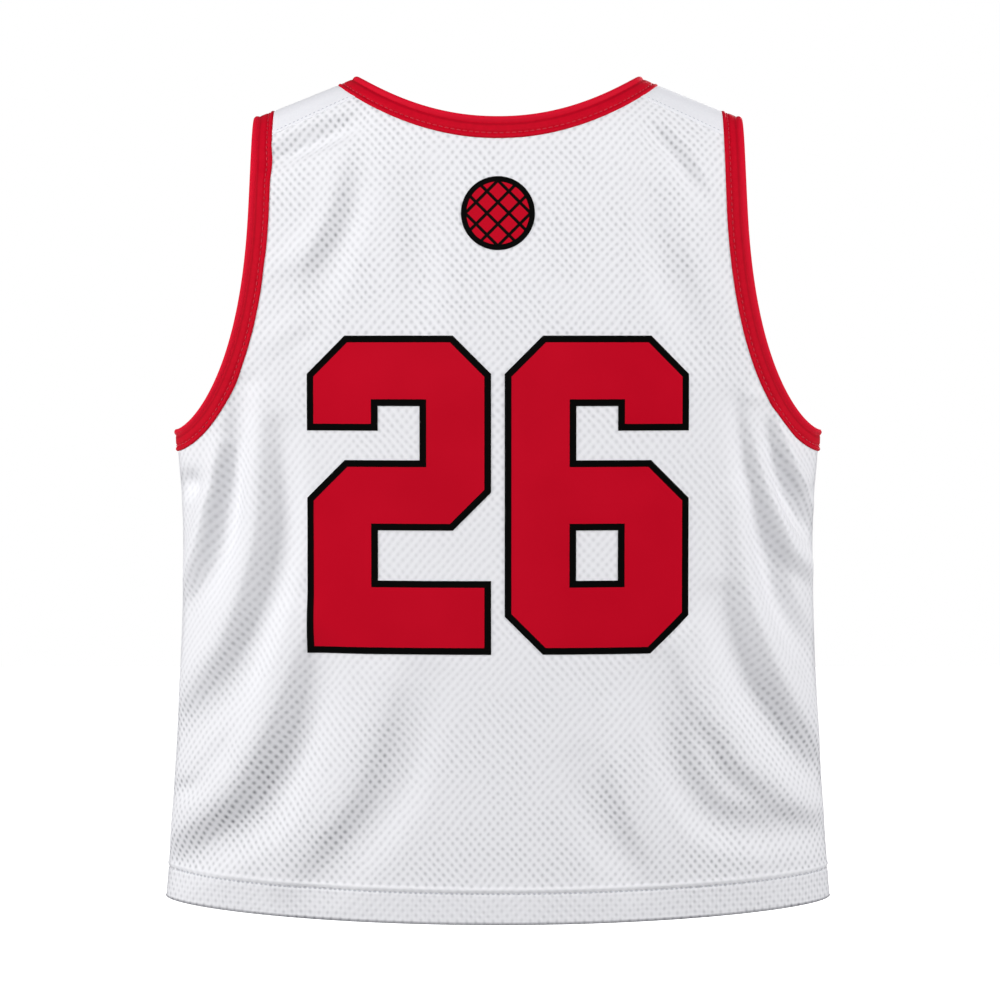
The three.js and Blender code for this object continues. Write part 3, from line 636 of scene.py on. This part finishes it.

    # Painted shade: a measure, the values where the shade ends and where it is whole, and how dark it
    # is there. Shade is painted along the hem's turned edge, along the side seams where the sides turn
    # away, and on the folds' lower flanks.
    painted_shades = [
        (above_hem, (3.2, 1.2), 0.5),
        (from_seam, (17.0, 9.0), 0.15),
        (shaded_flank, (0.08, 0.5), 0.09),
    ]
    for measure, (clear, whole), dark in painted_shades:
        share = node(tree, "ShaderNodeMapRange", {
            "Value": measure, "From Min": clear, "From Max": whole, "To Max": dark,
        }, interpolation_type="SMOOTHSTEP").outputs["Result"]
        painted_shade = node(tree, "ShaderNodeMath", {0: painted_shade, 1: share}, operation="ADD").outputs[0]

    dotted = node(tree, "ShaderNodeMath", {
        0: shown, 1: HOLE_SHADE, 2: painted_shade}, operation="MULTIPLY_ADD").outputs[0]
    shade = node(tree, "ShaderNodeMath", {
        0: grain, 1: FLOAT_SHADE, 2: dotted}, operation="MULTIPLY_ADD", use_clamp=True).outputs[0]
    colour = node(tree, "ShaderNodeMix", {
        "Factor": shade, 6: srgb("#f3f3f6"), 7: srgb("#3c3e4a")}, data_type="RGBA").outputs[2]
    ribbed = node(tree, "ShaderNodeMath", {0: grain, 1: -0.15}, operation="MULTIPLY").outputs[0]
    relief = node(tree, "ShaderNodeMath", {0: shown, 1: -0.7, 2: ribbed}, operation="MULTIPLY_ADD").outputs[0]
    settings = {"Roughness": 0.75, "Specular IOR Level": 0.15}
    finish_surface(tree, colour, settings, relief, depth=0.0005, strength=0.5)
    return material


mesh_cloth = mesh_knit("warp_knit_mesh")
PANEL_GRIDS = {BACK: ("back_panel", 221, 190), FRONT: ("front_panel", 171, 150)}    # columns and rows
for side, (name, columns, rows) in PANEL_GRIDS.items():
    points, maps = panel_grid(side, columns, rows)
    panel = outwards(cloth_mesh(f"{name}_cloth", points, maps, mesh_cloth))
    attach(panel, "root")
    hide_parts(name)


# ---- Stitches ----
# Lockstitch in polyester thread. Each stitch is a short float of thread that dips into the cloth
# at both ends. They are drawn a little longer than life, so that single ones can be seen.

# A stitch's rings: place along its length, share of its thickness, and rise above the cloth.
STITCH_RINGS = [(-0.5, 0.35, -0.3), (-0.25, 1, 0.15), (0.25, 1, 0.15), (0.5, 0.35, -0.3)]
STITCH_SIDES = 6
STITCH_FLATNESS = 0.8           # of its thickness to its width


def between_points(values, place, at):
    """A line's values, known at some places along it, read off at others."""
    return np.stack([np.interp(at, place, values[:, axis]) for axis in range(3)], axis=-1)


def stitch_rows(name, runs, thread, pitch, length, radius):
    """One object with a stitch every pitch along each run of (points, outward normals)."""
    verts, faces = [], []
    sides = range(STITCH_SIDES)
    for points, normals in runs:
        place = way_along(points)
        count = int(place[-1] // pitch)
        for k in range(count):
            centre = (k + 0.5) * place[-1] / count
            start = len(verts)
            for share, thick, rise in STITCH_RINGS:
                at = centre + share * length
                p = between_points(points, place, at)
                out = between_points(normals, place, at)
                out /= np.linalg.norm(out)
                way = between_points(points, place, at + 0.5) - between_points(points, place, at - 0.5)
                way /= np.linalg.norm(way)
                across = np.cross(way, out)
                for a in sides:
                    turn = 2 * math.pi * a / STITCH_SIDES
                    spread = across * math.cos(turn) + out * math.sin(turn) * STITCH_FLATNESS
                    verts.append(p + out * rise + spread * radius * thick)
            for low in range(start, len(verts) - STITCH_SIDES, STITCH_SIDES):
                high = low + STITCH_SIDES
                for a in sides:
                    b = (a + 1) % STITCH_SIDES
                    faces.append((low + a, low + b, high + b, high + a))
            faces.append(tuple(start + a for a in reversed(sides)))
            faces.append(tuple(len(verts) - STITCH_SIDES + a for a in sides))
    mesh = bpy.data.meshes.new(name)
    mesh.from_pydata([tuple(v * MM) for v in verts], [], faces)
    made = add_object(name, mesh, thread)
    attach(made, "root")
    return made


def sewing_thread(name, light, dark):
    """Spun polyester thread: two plies show as a slanting grain of 0.7 mm with a slight gloss."""
    material, tree = new_material(name)
    place = node(tree, "ShaderNodeTexCoord").outputs["Object"]
    plies = node(tree, "ShaderNodeTexWave", {
        "Vector": place, "Scale": 900.0, "Distortion": 1.0}, bands_direction="DIAGONAL").outputs["Fac"]
    colour = node(tree, "ShaderNodeMix", {
        "Factor": plies, 6: srgb(dark), 7: srgb(light)}, data_type="RGBA").outputs[2]
    settings = {"Roughness": 0.5, "Specular IOR Level": 0.3}
    finish_surface(tree, colour, settings, plies, depth=0.0001, strength=0.3)
    return material


def cloth_run(form, out):
    """Points and outward normals of a line on the cloth, or some way out, from its line on the form."""
    points = on_cloth(form, out)
    return points, on_cloth(form, out + 1) - points


# The white thread is painted grey, as shade where the stitches sink into the cloth.
white_thread_painted_grey = sewing_thread("white_sewing_thread_painted_grey", "#cfd1d8", "#b2b4be")
HEM_ROW_HALF = 272              # from the middle to each end of a panel's row of hem stitches
HEM_GROOVE = 0.45               # how deep the row is drawn into the cloth
for side, word in ((BACK, "back"), (FRONT, "front")):
    x = np.linspace(-HEM_ROW_HALF, HEM_ROW_HALF, 240)
    run = cloth_run(form_point(side, x, hem_edge(x) + HEM_STITCH), -HEM_GROOVE)
    stitch_rows(
        f"hem_stitching_{word}", [run], white_thread_painted_grey,
        pitch=NEEDLE_PITCH, length=2.6, radius=0.36)


# ---- Yokes ----
# Each shoulder has a strip of plain closed knit, sewn to both panels over the shoulder. Its lower
# edges are turned under and topstitched, so they stand a little proud of the mesh below.

YOKE_LIFT = 0.7                 # of the turned edge above the panel
YOKE_EDGE = [(-0.7, 0.3), (0.2, 0.0), (YOKE_LIFT, 0.6)]    # its rows: how far out, and above the seam
YOKE_RELIEF = [(-0.5, 0.62, 0.2)]    # share of its lift, by share of the fall from shoulder to seam
YOKE_FLAT = (6, 10)             # from its ends, where the bindings hold it flat on the form
YOKE_TURN = 18                  # radius of its flat map's arc over the shoulder
YOKE_STITCH = 2.4               # from the turned edge up to its stitches
YOKE_ROW_ENDS = (14, 20)        # from the neck's raw edge and the armhole's fold to the stitches


def plain_knit(name):
    """Polyester interlock, bleached white: a close smooth jersey with upright wales 0.9 mm apart.
    To the eye it is a smooth, slightly brighter white than the mesh."""
    material, tree = new_material(name)
    place = node(tree, "ShaderNodeUVMap", uv_map="cloth").outputs["UV"]
    wales = node(tree, "ShaderNodeTexWave", {
        "Vector": place, "Scale": 0.35, "Distortion": 0.4}, bands_direction="X").outputs["Fac"]
    slub = node(tree, "ShaderNodeTexNoise", {"Vector": place, "Scale": 0.5, "Detail": 3.0}).outputs["Fac"]
    mixed = node(tree, "ShaderNodeMath", {0: wales, 1: 0.35, 2: slub}, operation="MULTIPLY_ADD").outputs[0]
    colour = node(tree, "ShaderNodeMix", {
        "Factor": mixed, 6: srgb("#e7e8ed"), 7: srgb("#f4f4f8")}, data_type="RGBA").outputs[2]
    settings = {"Roughness": 0.62, "Specular IOR Level": 0.3, "Sheen Weight": 0.05, "Sheen Roughness": 0.5}
    finish_surface(tree, colour, settings, mixed, depth=0.0002, strength=0.35)
    return material


def yoke_grid(hand, columns, rows):
    """A yoke's points from its back edge over the shoulder to its front edge, and its flat map."""
    arm = ARMHOLE_TOP - TUCK_IN
    neck = NECK_HALF + TUCK_IN
    grid, flat = [], []
    run = np.linspace(0, 1, columns)
    edge = [(1, lift, rise) for lift, rise in YOKE_EDGE]
    over = [(turn, YOKE_LIFT, 0) for turn in np.linspace(-1, 1, rows)[1:-1]]
    for turn, lift, rise in [(-turn, lift, rise) for turn, lift, rise in edge] + over + edge[::-1]:
        side = BACK if turn <= 0 else FRONT
        down = 1 - math.cos(abs(turn) * math.pi / 2)
        low = (1 - down) * neck + down * neck_meets_seam(side)
        x = hand * (low + (arm - low) * run)
        z = (1 - down) * shoulder_line(x) + down * yoke_seam(x) + rise

        # Between the shoulder and its turned edge it lies closer to the form.
        drawn_in = 1 + relief_at(down, YOKE_RELIEF) if lift == YOKE_LIFT else 1
        from_end = np.minimum(arm - np.abs(x), np.abs(x) - low)
        grid.append(on_cloth(form_point(side, x, z), lift * drawn_in * smoothstep(from_end, *YOKE_FLAT)))
        length = 0 if turn == 0 else math.copysign(math.acos(1 - down), turn) * YOKE_TURN
        flat.append(np.stack([x, np.full(columns, length)], axis=-1))
    return np.array(grid), np.array(flat)


def neck_meets_seam(side):
    """Half-width at which a yoke seam runs into the neck's raw edge."""
    x = np.linspace(60, NECK_HALF + TUCK_IN, 400)
    below = neck_edge(side, x, TUCK_IN) <= yoke_seam(x)
    return x[below].max() if below.any() else x[0]


yoke_cloth = plain_knit("interlock_knit")
for name, hand in (("left", -1), ("right", 1)):
    points, flat = yoke_grid(hand, 44, 41)
    yoke = outwards(cloth_mesh(f"yoke_{name}_cloth", points, {"cloth": flat}, yoke_cloth))
    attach(yoke, "root")
    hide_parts(f"yoke_{name}")
    runs = []
    for side in (BACK, FRONT):
        x = hand * np.linspace(
            neck_meets_seam(side) + YOKE_ROW_ENDS[0], ARMHOLE_TOP - YOKE_ROW_ENDS[1], 60)
        runs.append(cloth_run(form_point(side, x, yoke_seam(x) + YOKE_STITCH), YOKE_LIFT - 0.1))
    rows = stitch_rows(
        f"yoke_{name}_stitching", runs, white_thread_painted_grey, pitch=3.6, length=2.6, radius=0.3)


# ---- Bindings ----
# The neck and the armholes are bound with red knitted tape, folded over the raw edge and held by
# one row of stitches near its inner edges. The fold is full and round, and the stitches draw
# the tape down.

BINDING_WIDTH = 18.4            # of each leaf, from the fold to its edge
TAPE_OUT = 1.1                  # of the tape's outer face above the cloth
TAPE_IN = 2.2                   # of its inner face below the cloth's outer face
BINDING_STITCH = 14.0           # from the fold to the stitches
TAPE_GROOVE = 0.6               # how deep the stitches lie in the tape's outer face
FOLD_RADIUS = 1.6               # of the tape's fold
TAPE_EDGE = (0.7, 0.9)          # how far its outer edge turns down, and over what width
LOOP_POINTS = 4000              # found on each side of a loop before they are spaced evenly

TAPE_RELIEF = [                     # by distance from the fold
    (-0.9, BINDING_STITCH, 1.3),    # the stitches draw it down
    (1.2, 2.6, 2.0),                # it is full over the fold
    (-0.4, 5.6, 0.8),               # and pressed down past the raw edge inside
    (0.35, 16.6, 1.1),              # its edge stands up past the stitches
]


def joined_up(ring):
    """A loop's points, with the first one again at the end."""
    return np.vstack([ring, ring[:1]])


def even_loop(points, count):
    """A loop's points spaced evenly round it."""
    ring = joined_up(points)
    place = way_along(ring)
    return between_points(ring, place, np.arange(count) * place[-1] / count)


def armhole_loop(hand, count):
    """The armhole's edge: up the back from the underarm, over the shoulder and down the front."""
    top = shoulder_line(ARMHOLE_TOP)
    points = []
    t = np.arange(LOOP_POINTS) / LOOP_POINTS
    for side, share in ((BACK, t), (FRONT, 1 - t)):
        z = ARMHOLE_FOOT + (top - ARMHOLE_FOOT) * (1 - np.cos(math.pi * share)) / 2
        points.append(form_point(side, hand * panel_half_width(side, z, 0), z))
    return even_loop(np.vstack(points), count)


def neck_loop(count):
    """The neck's edge: across the back and then back across the front."""
    points = []
    t = -1 + 2 * np.arange(LOOP_POINTS) / LOOP_POINTS
    for side, share in ((BACK, t), (FRONT, -t)):
        x = NECK_HALF * np.sin(math.pi / 2 * share)
        points.append(form_point(side, x, neck_edge(side, x, 0)))
    return even_loop(np.vstack(points), count)


def across_form(loop, turn, reach, steps):
    """Walks over the form from each point of a loop, square to it, and gives each step's points."""
    along = np.roll(loop, -1, axis=0) - np.roll(loop, 1, axis=0)
    slope = form_slope(loop)
    heading = np.cross(slope, along) * turn
    heading /= np.linalg.norm(heading, axis=1, keepdims=True)
    p = loop.copy()
    found = [p.copy()]
    for _ in range(steps):
        p = p + heading * (reach / steps)
        slope = form_slope(p)
        p = p - slope * (form_level(p) / (slope**2).sum(axis=1))[:, None]
        normal = slope / np.linalg.norm(slope, axis=1, keepdims=True)
        heading -= normal * (heading * normal).sum(axis=1)[:, None]
        heading /= np.linalg.norm(heading, axis=1, keepdims=True)
        found.append(p.copy())
    return np.array(found)


def tape_section():
    """The folded tape's section: how far in from the fold and how far out, from leaf to leaf."""
    outer = []
    for way in np.linspace(BINDING_WIDTH, FOLD_RADIUS, 42):
        turned = TAPE_EDGE[0] * (1 - smoothstep(BINDING_WIDTH - way, 0, TAPE_EDGE[1]))
        outer.append((way, TAPE_OUT + relief_at(way, TAPE_RELIEF) - turned))
    top = outer[-1][1]
    middle = (top - TAPE_IN) / 2
    fold = []
    for turn in np.linspace(0, math.pi, 11)[1:-1]:
        fold.append((FOLD_RADIUS * (1 - math.sin(turn)), middle + (top - middle) * math.cos(turn)))
    inner = [(way, -TAPE_IN) for way in np.linspace(FOLD_RADIUS, BINDING_WIDTH, 12)]
    return outer + fold + inner


def knitted_tape(name):
    """Polyester rib tape, piece-dyed scarlet: ribs 1 mm apart run along it, matt and a little
    uneven in shade to the eye."""
    material, tree = new_material(name)
    place = node(tree, "ShaderNodeUVMap", uv_map="cloth").outputs["UV"]
    ribs = node(tree, "ShaderNodeTexWave", {
        "Vector": place, "Scale": 0.30, "Distortion": 0.5}, bands_direction="Y").outputs["Fac"]
    slub = node(tree, "ShaderNodeTexNoise", {
        "Vector": place, "Scale": 0.22, "Detail": 4.0, "Roughness": 0.6}).outputs["Fac"]
    mixed = node(tree, "ShaderNodeMath", {0: ribs, 1: 0.25, 2: slub}, operation="MULTIPLY_ADD").outputs[0]
    dyed = node(tree, "ShaderNodeMix", {
        "Factor": mixed, 6: srgb("#b5031d"), 7: srgb("#d10926")}, data_type="RGBA").outputs[2]

    # Along the fold a paler red is painted as a highlight, and beside it a darker line is painted as
    # shade where the tape is pressed down past the raw edge inside. The map runs from the outer edge, so the
    # fold is at its width.
    across = node(tree, "ShaderNodeSeparateXYZ", {0: place}).outputs["Y"]
    from_press = node(tree, "ShaderNodeMath", {0: across, 1: BINDING_WIDTH - 6.2}, operation="SUBTRACT")
    off_press = node(tree, "ShaderNodeMath", {0: from_press.outputs[0]}, operation="ABSOLUTE").outputs[0]
    colour = dyed
    for measure, (clear, whole), share, tint in (
            (across, (BINDING_WIDTH - 5.4, BINDING_WIDTH - 3.2), 0.75, "#dc1430"),
            (off_press, (1.8, 0.2), 0.35, "#7c0012")):
        tinted = node(tree, "ShaderNodeMapRange", {
            "Value": measure, "From Min": clear, "From Max": whole, "To Max": share,
        }, interpolation_type="SMOOTHSTEP").outputs["Result"]
        colour = node(tree, "ShaderNodeMix", {
            "Factor": tinted, 6: colour, 7: srgb(tint)}, data_type="RGBA").outputs[2]
    settings = {"Roughness": 0.6, "Specular IOR Level": 0.04}
    finish_surface(tree, colour, settings, mixed, depth=0.0002, strength=0.4)
    return material


tape = knitted_tape("scarlet_rib_tape")
red_thread = sewing_thread("scarlet_sewing_thread", "#d62a40", "#bc182e")

# Each edge that is bound, and the sign that turns its walk in over the cloth.
loops = {
    "neck_binding": (neck_loop(300), -1),
    "armhole_binding_left": (armhole_loop(-1, 280), -1),
    "armhole_binding_right": (armhole_loop(1, 280), 1),
}
STEPS_IN = 34                   # in which each loop is walked in from the fold to the tape's edge


def at_way(walk, way):
    """A loop's points moved in over the form from the fold by some way."""
    low = min(int(way / BINDING_WIDTH * STEPS_IN), STEPS_IN - 1)
    share = way / BINDING_WIDTH * STEPS_IN - low
    return walk[low] * (1 - share) + walk[low + 1] * share


profile = tape_section()
girth = way_along(np.array(profile))
for name, (loop, turn) in loops.items():
    walk = across_form(loop, turn, BINDING_WIDTH, STEPS_IN)
    points = np.stack([on_cloth(at_way(walk, max(way, 0)), out) for way, out in profile], axis=1)
    along = way_along(joined_up(loop))
    flat = np.stack(np.meshgrid(along, girth, indexing="ij"), axis=-1)
    bound = cloth_mesh(f"{name}_tape", points, {"cloth": flat}, tape, closed=True)
    bm = bmesh.new()
    bm.from_mesh(bound.data)
    bmesh.ops.recalc_face_normals(bm, faces=bm.faces)
    bm.to_mesh(bound.data)
    bm.free()
    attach(bound, "root")
    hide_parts(name)
    run = cloth_run(joined_up(at_way(walk, BINDING_STITCH)), TAPE_OUT - TAPE_GROOVE)
    rows = stitch_rows(
        f"{name}_stitching", [run], red_thread, pitch=5.0, length=3.6, radius=0.5)


# ---- Numerals ----
# The player's number is two layers of heat-pressed film, a black one with a red one on top. They
# are soft enough to follow the cloth's folds, and thick enough to hide its holes.

NUMBER_BORDER = 5.5             # black that shows round the red
NUMERAL = {
    "width": 150, "stroke": 58, "chamfer": 31,
    "top_bar": 57, "arm_end": 77, "middle_top": 101, "middle_foot": 158, "base_top": 199, "height": 259,
}
FILM_LIFT = {"border": 0.6, "face": 1.0}    # of each layer's face above the cloth
FILM_THICKNESS = 0.4
FILM_CELL = 4                   # how finely the film is cut up to follow the folds
FILM_CORNER = math.radians(50)    # a turn sharper than this is a crisp cut edge


def numeral_outlines(word):
    """A block numeral's outlines: x to the right and z up from its top left corner."""
    n = NUMERAL
    far, clipped = n["width"] - n["stroke"], n["width"] - n["chamfer"]
    w, s, c, h = n["width"], n["stroke"], n["chamfer"], n["height"]
    bar, arm, mid, foot, base = n["top_bar"], n["arm_end"], n["middle_top"], n["middle_foot"], n["base_top"]
    outlines = {
        "two": [[
            (c, 0), (clipped, 0), (w, c), (w, foot - c), (clipped, foot), (s, foot), (s, base), (w, base),
            (w, h), (0, h), (0, mid + c), (c, mid), (far, mid), (far, bar), (s, bar), (s, arm), (0, arm),
            (0, c),
        ]],
        "six": [[
            (c, 0), (clipped, 0), (w, c), (w, arm), (far, arm), (far, bar), (s, bar), (s, mid),
            (clipped, mid), (w, mid + c), (w, h - c), (clipped, h), (c, h), (0, h - c), (0, c),
        ], [(s, foot), (s, base), (far, base), (far, foot)]],
    }
    return [np.array([(x, -down) for x, down in outline], float) for outline in outlines[word]]


def inset_outline(points, by):
    """An outline moved inwards by some way, corner by corner."""
    before, after = np.roll(points, 1, axis=0), np.roll(points, -1, axis=0)
    unit = lambda v: v / np.linalg.norm(v, axis=1, keepdims=True)
    first, second = unit(points - before), unit(after - points)
    normal = np.stack([first[:, 1], -first[:, 0]], axis=1)
    following = np.stack([second[:, 1], -second[:, 0]], axis=1)
    lengthen = by / (1 + (normal * following).sum(axis=1))
    return points + (normal + following) * lengthen[:, None]


def film_piece(name, outlines, corner, low, high, film):
    """A thin film of this outline, laid on the back panel between two distances out."""
    bm = bmesh.new()
    edges = []
    for outline in outlines:
        corners = [bm.verts.new((x + corner[0], 0, z + corner[1])) for x, z in outline]
        edges += [bm.edges.new((a, b)) for a, b in zip(corners, corners[1:] + corners[:1])]
    bmesh.ops.triangle_fill(bm, edges=edges, use_beauty=True, use_dissolve=False)
    xs, zs = [v.co.x for v in bm.verts], [v.co.z for v in bm.verts]
    for axis, places in ((0, xs), (2, zs)):
        normal = Vector([1.0 if i == axis else 0.0 for i in range(3)])
        for at in np.arange(math.ceil(min(places) / FILM_CELL) * FILM_CELL, max(places), FILM_CELL):
            everything = bm.verts[:] + bm.edges[:] + bm.faces[:]
            bmesh.ops.bisect_plane(bm, geom=everything, dist=1e-4, plane_co=normal * at, plane_no=normal)
    bmesh.ops.dissolve_limit(bm, angle_limit=0.0001, verts=[], edges=[])
    lower = bm.verts[:]
    grown = bmesh.ops.extrude_face_region(bm, geom=bm.faces[:])
    upper = [v for v in grown["geom"] if isinstance(v, bmesh.types.BMVert)]
    for verts, out in ((lower, low), (upper, high)):
        at = np.array([(v.co.x, v.co.z) for v in verts])
        placed = on_cloth(form_point(BACK, at[:, 0], at[:, 1]), out)
        for v, p in zip(verts, placed):
            v.co = Vector(p * MM)
    bmesh.ops.recalc_face_normals(bm, faces=bm.faces)
    mesh = bpy.data.meshes.new(name)
    bm.to_mesh(mesh)
    bm.free()
    made = add_object(name, mesh, film)
    mesh.set_sharp_from_angle(angle=FILM_CORNER)
    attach(made, "root")
    return made


def pressed_film(name, light, dark, roughness):
    """Heat-pressed polyurethane film: an even satin colour that takes a trace of the knit below."""
    material, tree = new_material(name)
    place = node(tree, "ShaderNodeTexCoord").outputs["Object"]
    cloudy = node(tree, "ShaderNodeTexNoise", {"Vector": place, "Scale": 14.0, "Detail": 2.0}).outputs["Fac"]
    grain = node(tree, "ShaderNodeTexNoise", {"Vector": place, "Scale": 700.0, "Detail": 2.0}).outputs["Fac"]
    knit = node(tree, "ShaderNodeTexWave", {
        "Vector": place, "Scale": 110.0, "Distortion": 0.6}, bands_direction="DIAGONAL").outputs["Fac"]
    colour = node(tree, "ShaderNodeMix", {
        "Factor": cloudy, 6: srgb(dark), 7: srgb(light)}, data_type="RGBA").outputs[2]
    rough = node(tree, "ShaderNodeMapRange", {
        "Value": grain, "To Min": roughness - 0.06, "To Max": roughness + 0.06}).outputs["Result"]
    relief = node(tree, "ShaderNodeMath", {0: knit, 1: 0.5, 2: grain}, operation="MULTIPLY_ADD").outputs[0]
    settings = {"Roughness": rough, "Specular IOR Level": 0.02}
    finish_surface(tree, colour, settings, relief, depth=0.0001, strength=0.25)
    return material


films = {
    "border": pressed_film("black_pressed_film", "#030302", "#020202", 0.5),
    "face": pressed_film("scarlet_pressed_film", "#cb0a26", "#ba031e", 0.5),
}
for word in ("two", "six"):
    low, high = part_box(f"numeral_{word}_border")
    corner = (low[0] / MM, high[2] / MM)
    for layer, border in (("border", 0), ("face", NUMBER_BORDER)):
        outlines = [inset_outline(o, border) if border else o for o in numeral_outlines(word)]
        lift = FILM_LIFT[layer]
        piece = film_piece(
            f"numeral_{word}_{layer}_film", outlines, corner, lift - FILM_THICKNESS, lift,
            films[layer])
        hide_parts(f"numeral_{word}_{layer}")


# ---- Badge ----
# A round badge in the same two films sits below the neck: a black disc, and a red one on it that
# is printed with the black lattice of a lacrosse net.

low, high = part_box("badge_border")
badge_centre = ((low[0] + high[0]) / 2 / MM, (low[2] + high[2]) / 2 / MM)
BADGE_RADIUS = 30
BADGE_BORDER = 4.5              # black that shows round the red
NET_SPACING = 12.5              # between the net's cords
NET_CORD = 2.6                  # their printed width
INK_EDGE = 0.05                 # how softly the ink ends, as a share of the spacing's wave
DISC_CORNERS = 72


def disc_outline(radius):
    """A round outline that runs the same way as a numeral's."""
    turn = -2 * math.pi * np.arange(DISC_CORNERS) / DISC_CORNERS
    return np.stack([radius * np.cos(turn), radius * np.sin(turn)], axis=1)


def print_net(material, spacing, cord):
    """Prints a net's crossed black cords over a film: flat ink that stays crisp at its edges."""
    tree = material.node_tree
    shader = next(n for n in tree.nodes if n.type == "BSDF_PRINCIPLED")
    place = node(tree, "ShaderNodeTexCoord").outputs["Object"]
    centre = [badge_centre[0] * MM, 0, badge_centre[1] * MM]
    from_centre = node(tree, "ShaderNodeVectorMath", {0: place, 1: centre}, operation="SUBTRACT").outputs[0]
    turn = math.pi / (spacing * MM * math.sqrt(2))
    lines = []
    for slant in (1, -1):
        phase = node(tree, "ShaderNodeVectorMath", {
            0: from_centre, 1: (turn, 0, slant * turn)}, operation="DOT_PRODUCT").outputs["Value"]
        wave = node(tree, "ShaderNodeMath", {0: phase}, operation="COSINE").outputs[0]
        off_cord = node(tree, "ShaderNodeMath", {0: wave}, operation="ABSOLUTE").outputs[0]
        edge = math.sin(math.pi * cord / 2 / spacing)
        lines.append(node(tree, "ShaderNodeMapRange", {
            "Value": off_cord, "From Min": edge + INK_EDGE, "From Max": edge - INK_EDGE,
        }).outputs["Result"])
    inked = node(tree, "ShaderNodeMath", {0: lines[0], 1: lines[1]}, operation="MAXIMUM").outputs[0]
    film_colour = shader.inputs["Base Color"].links[0].from_socket
    printed = node(tree, "ShaderNodeMix", {
        "Factor": inked, 6: film_colour, 7: srgb("#060504")}, data_type="RGBA").outputs[2]
    tree.links.new(printed, shader.inputs["Base Color"])
    return material


badge_films = {
    "border": films["border"],
    "face": print_net(
        pressed_film("scarlet_film_printed_with_net", "#cb0a26", "#ba031e", 0.5), NET_SPACING, NET_CORD),
}
for layer, radius in (("border", BADGE_RADIUS), ("face", BADGE_RADIUS - BADGE_BORDER)):
    lift = FILM_LIFT[layer]
    piece = film_piece(
        f"badge_{layer}_film", [disc_outline(radius)], badge_centre, lift - FILM_THICKNESS, lift,
        badge_films[layer])
    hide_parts(f"badge_{layer}")
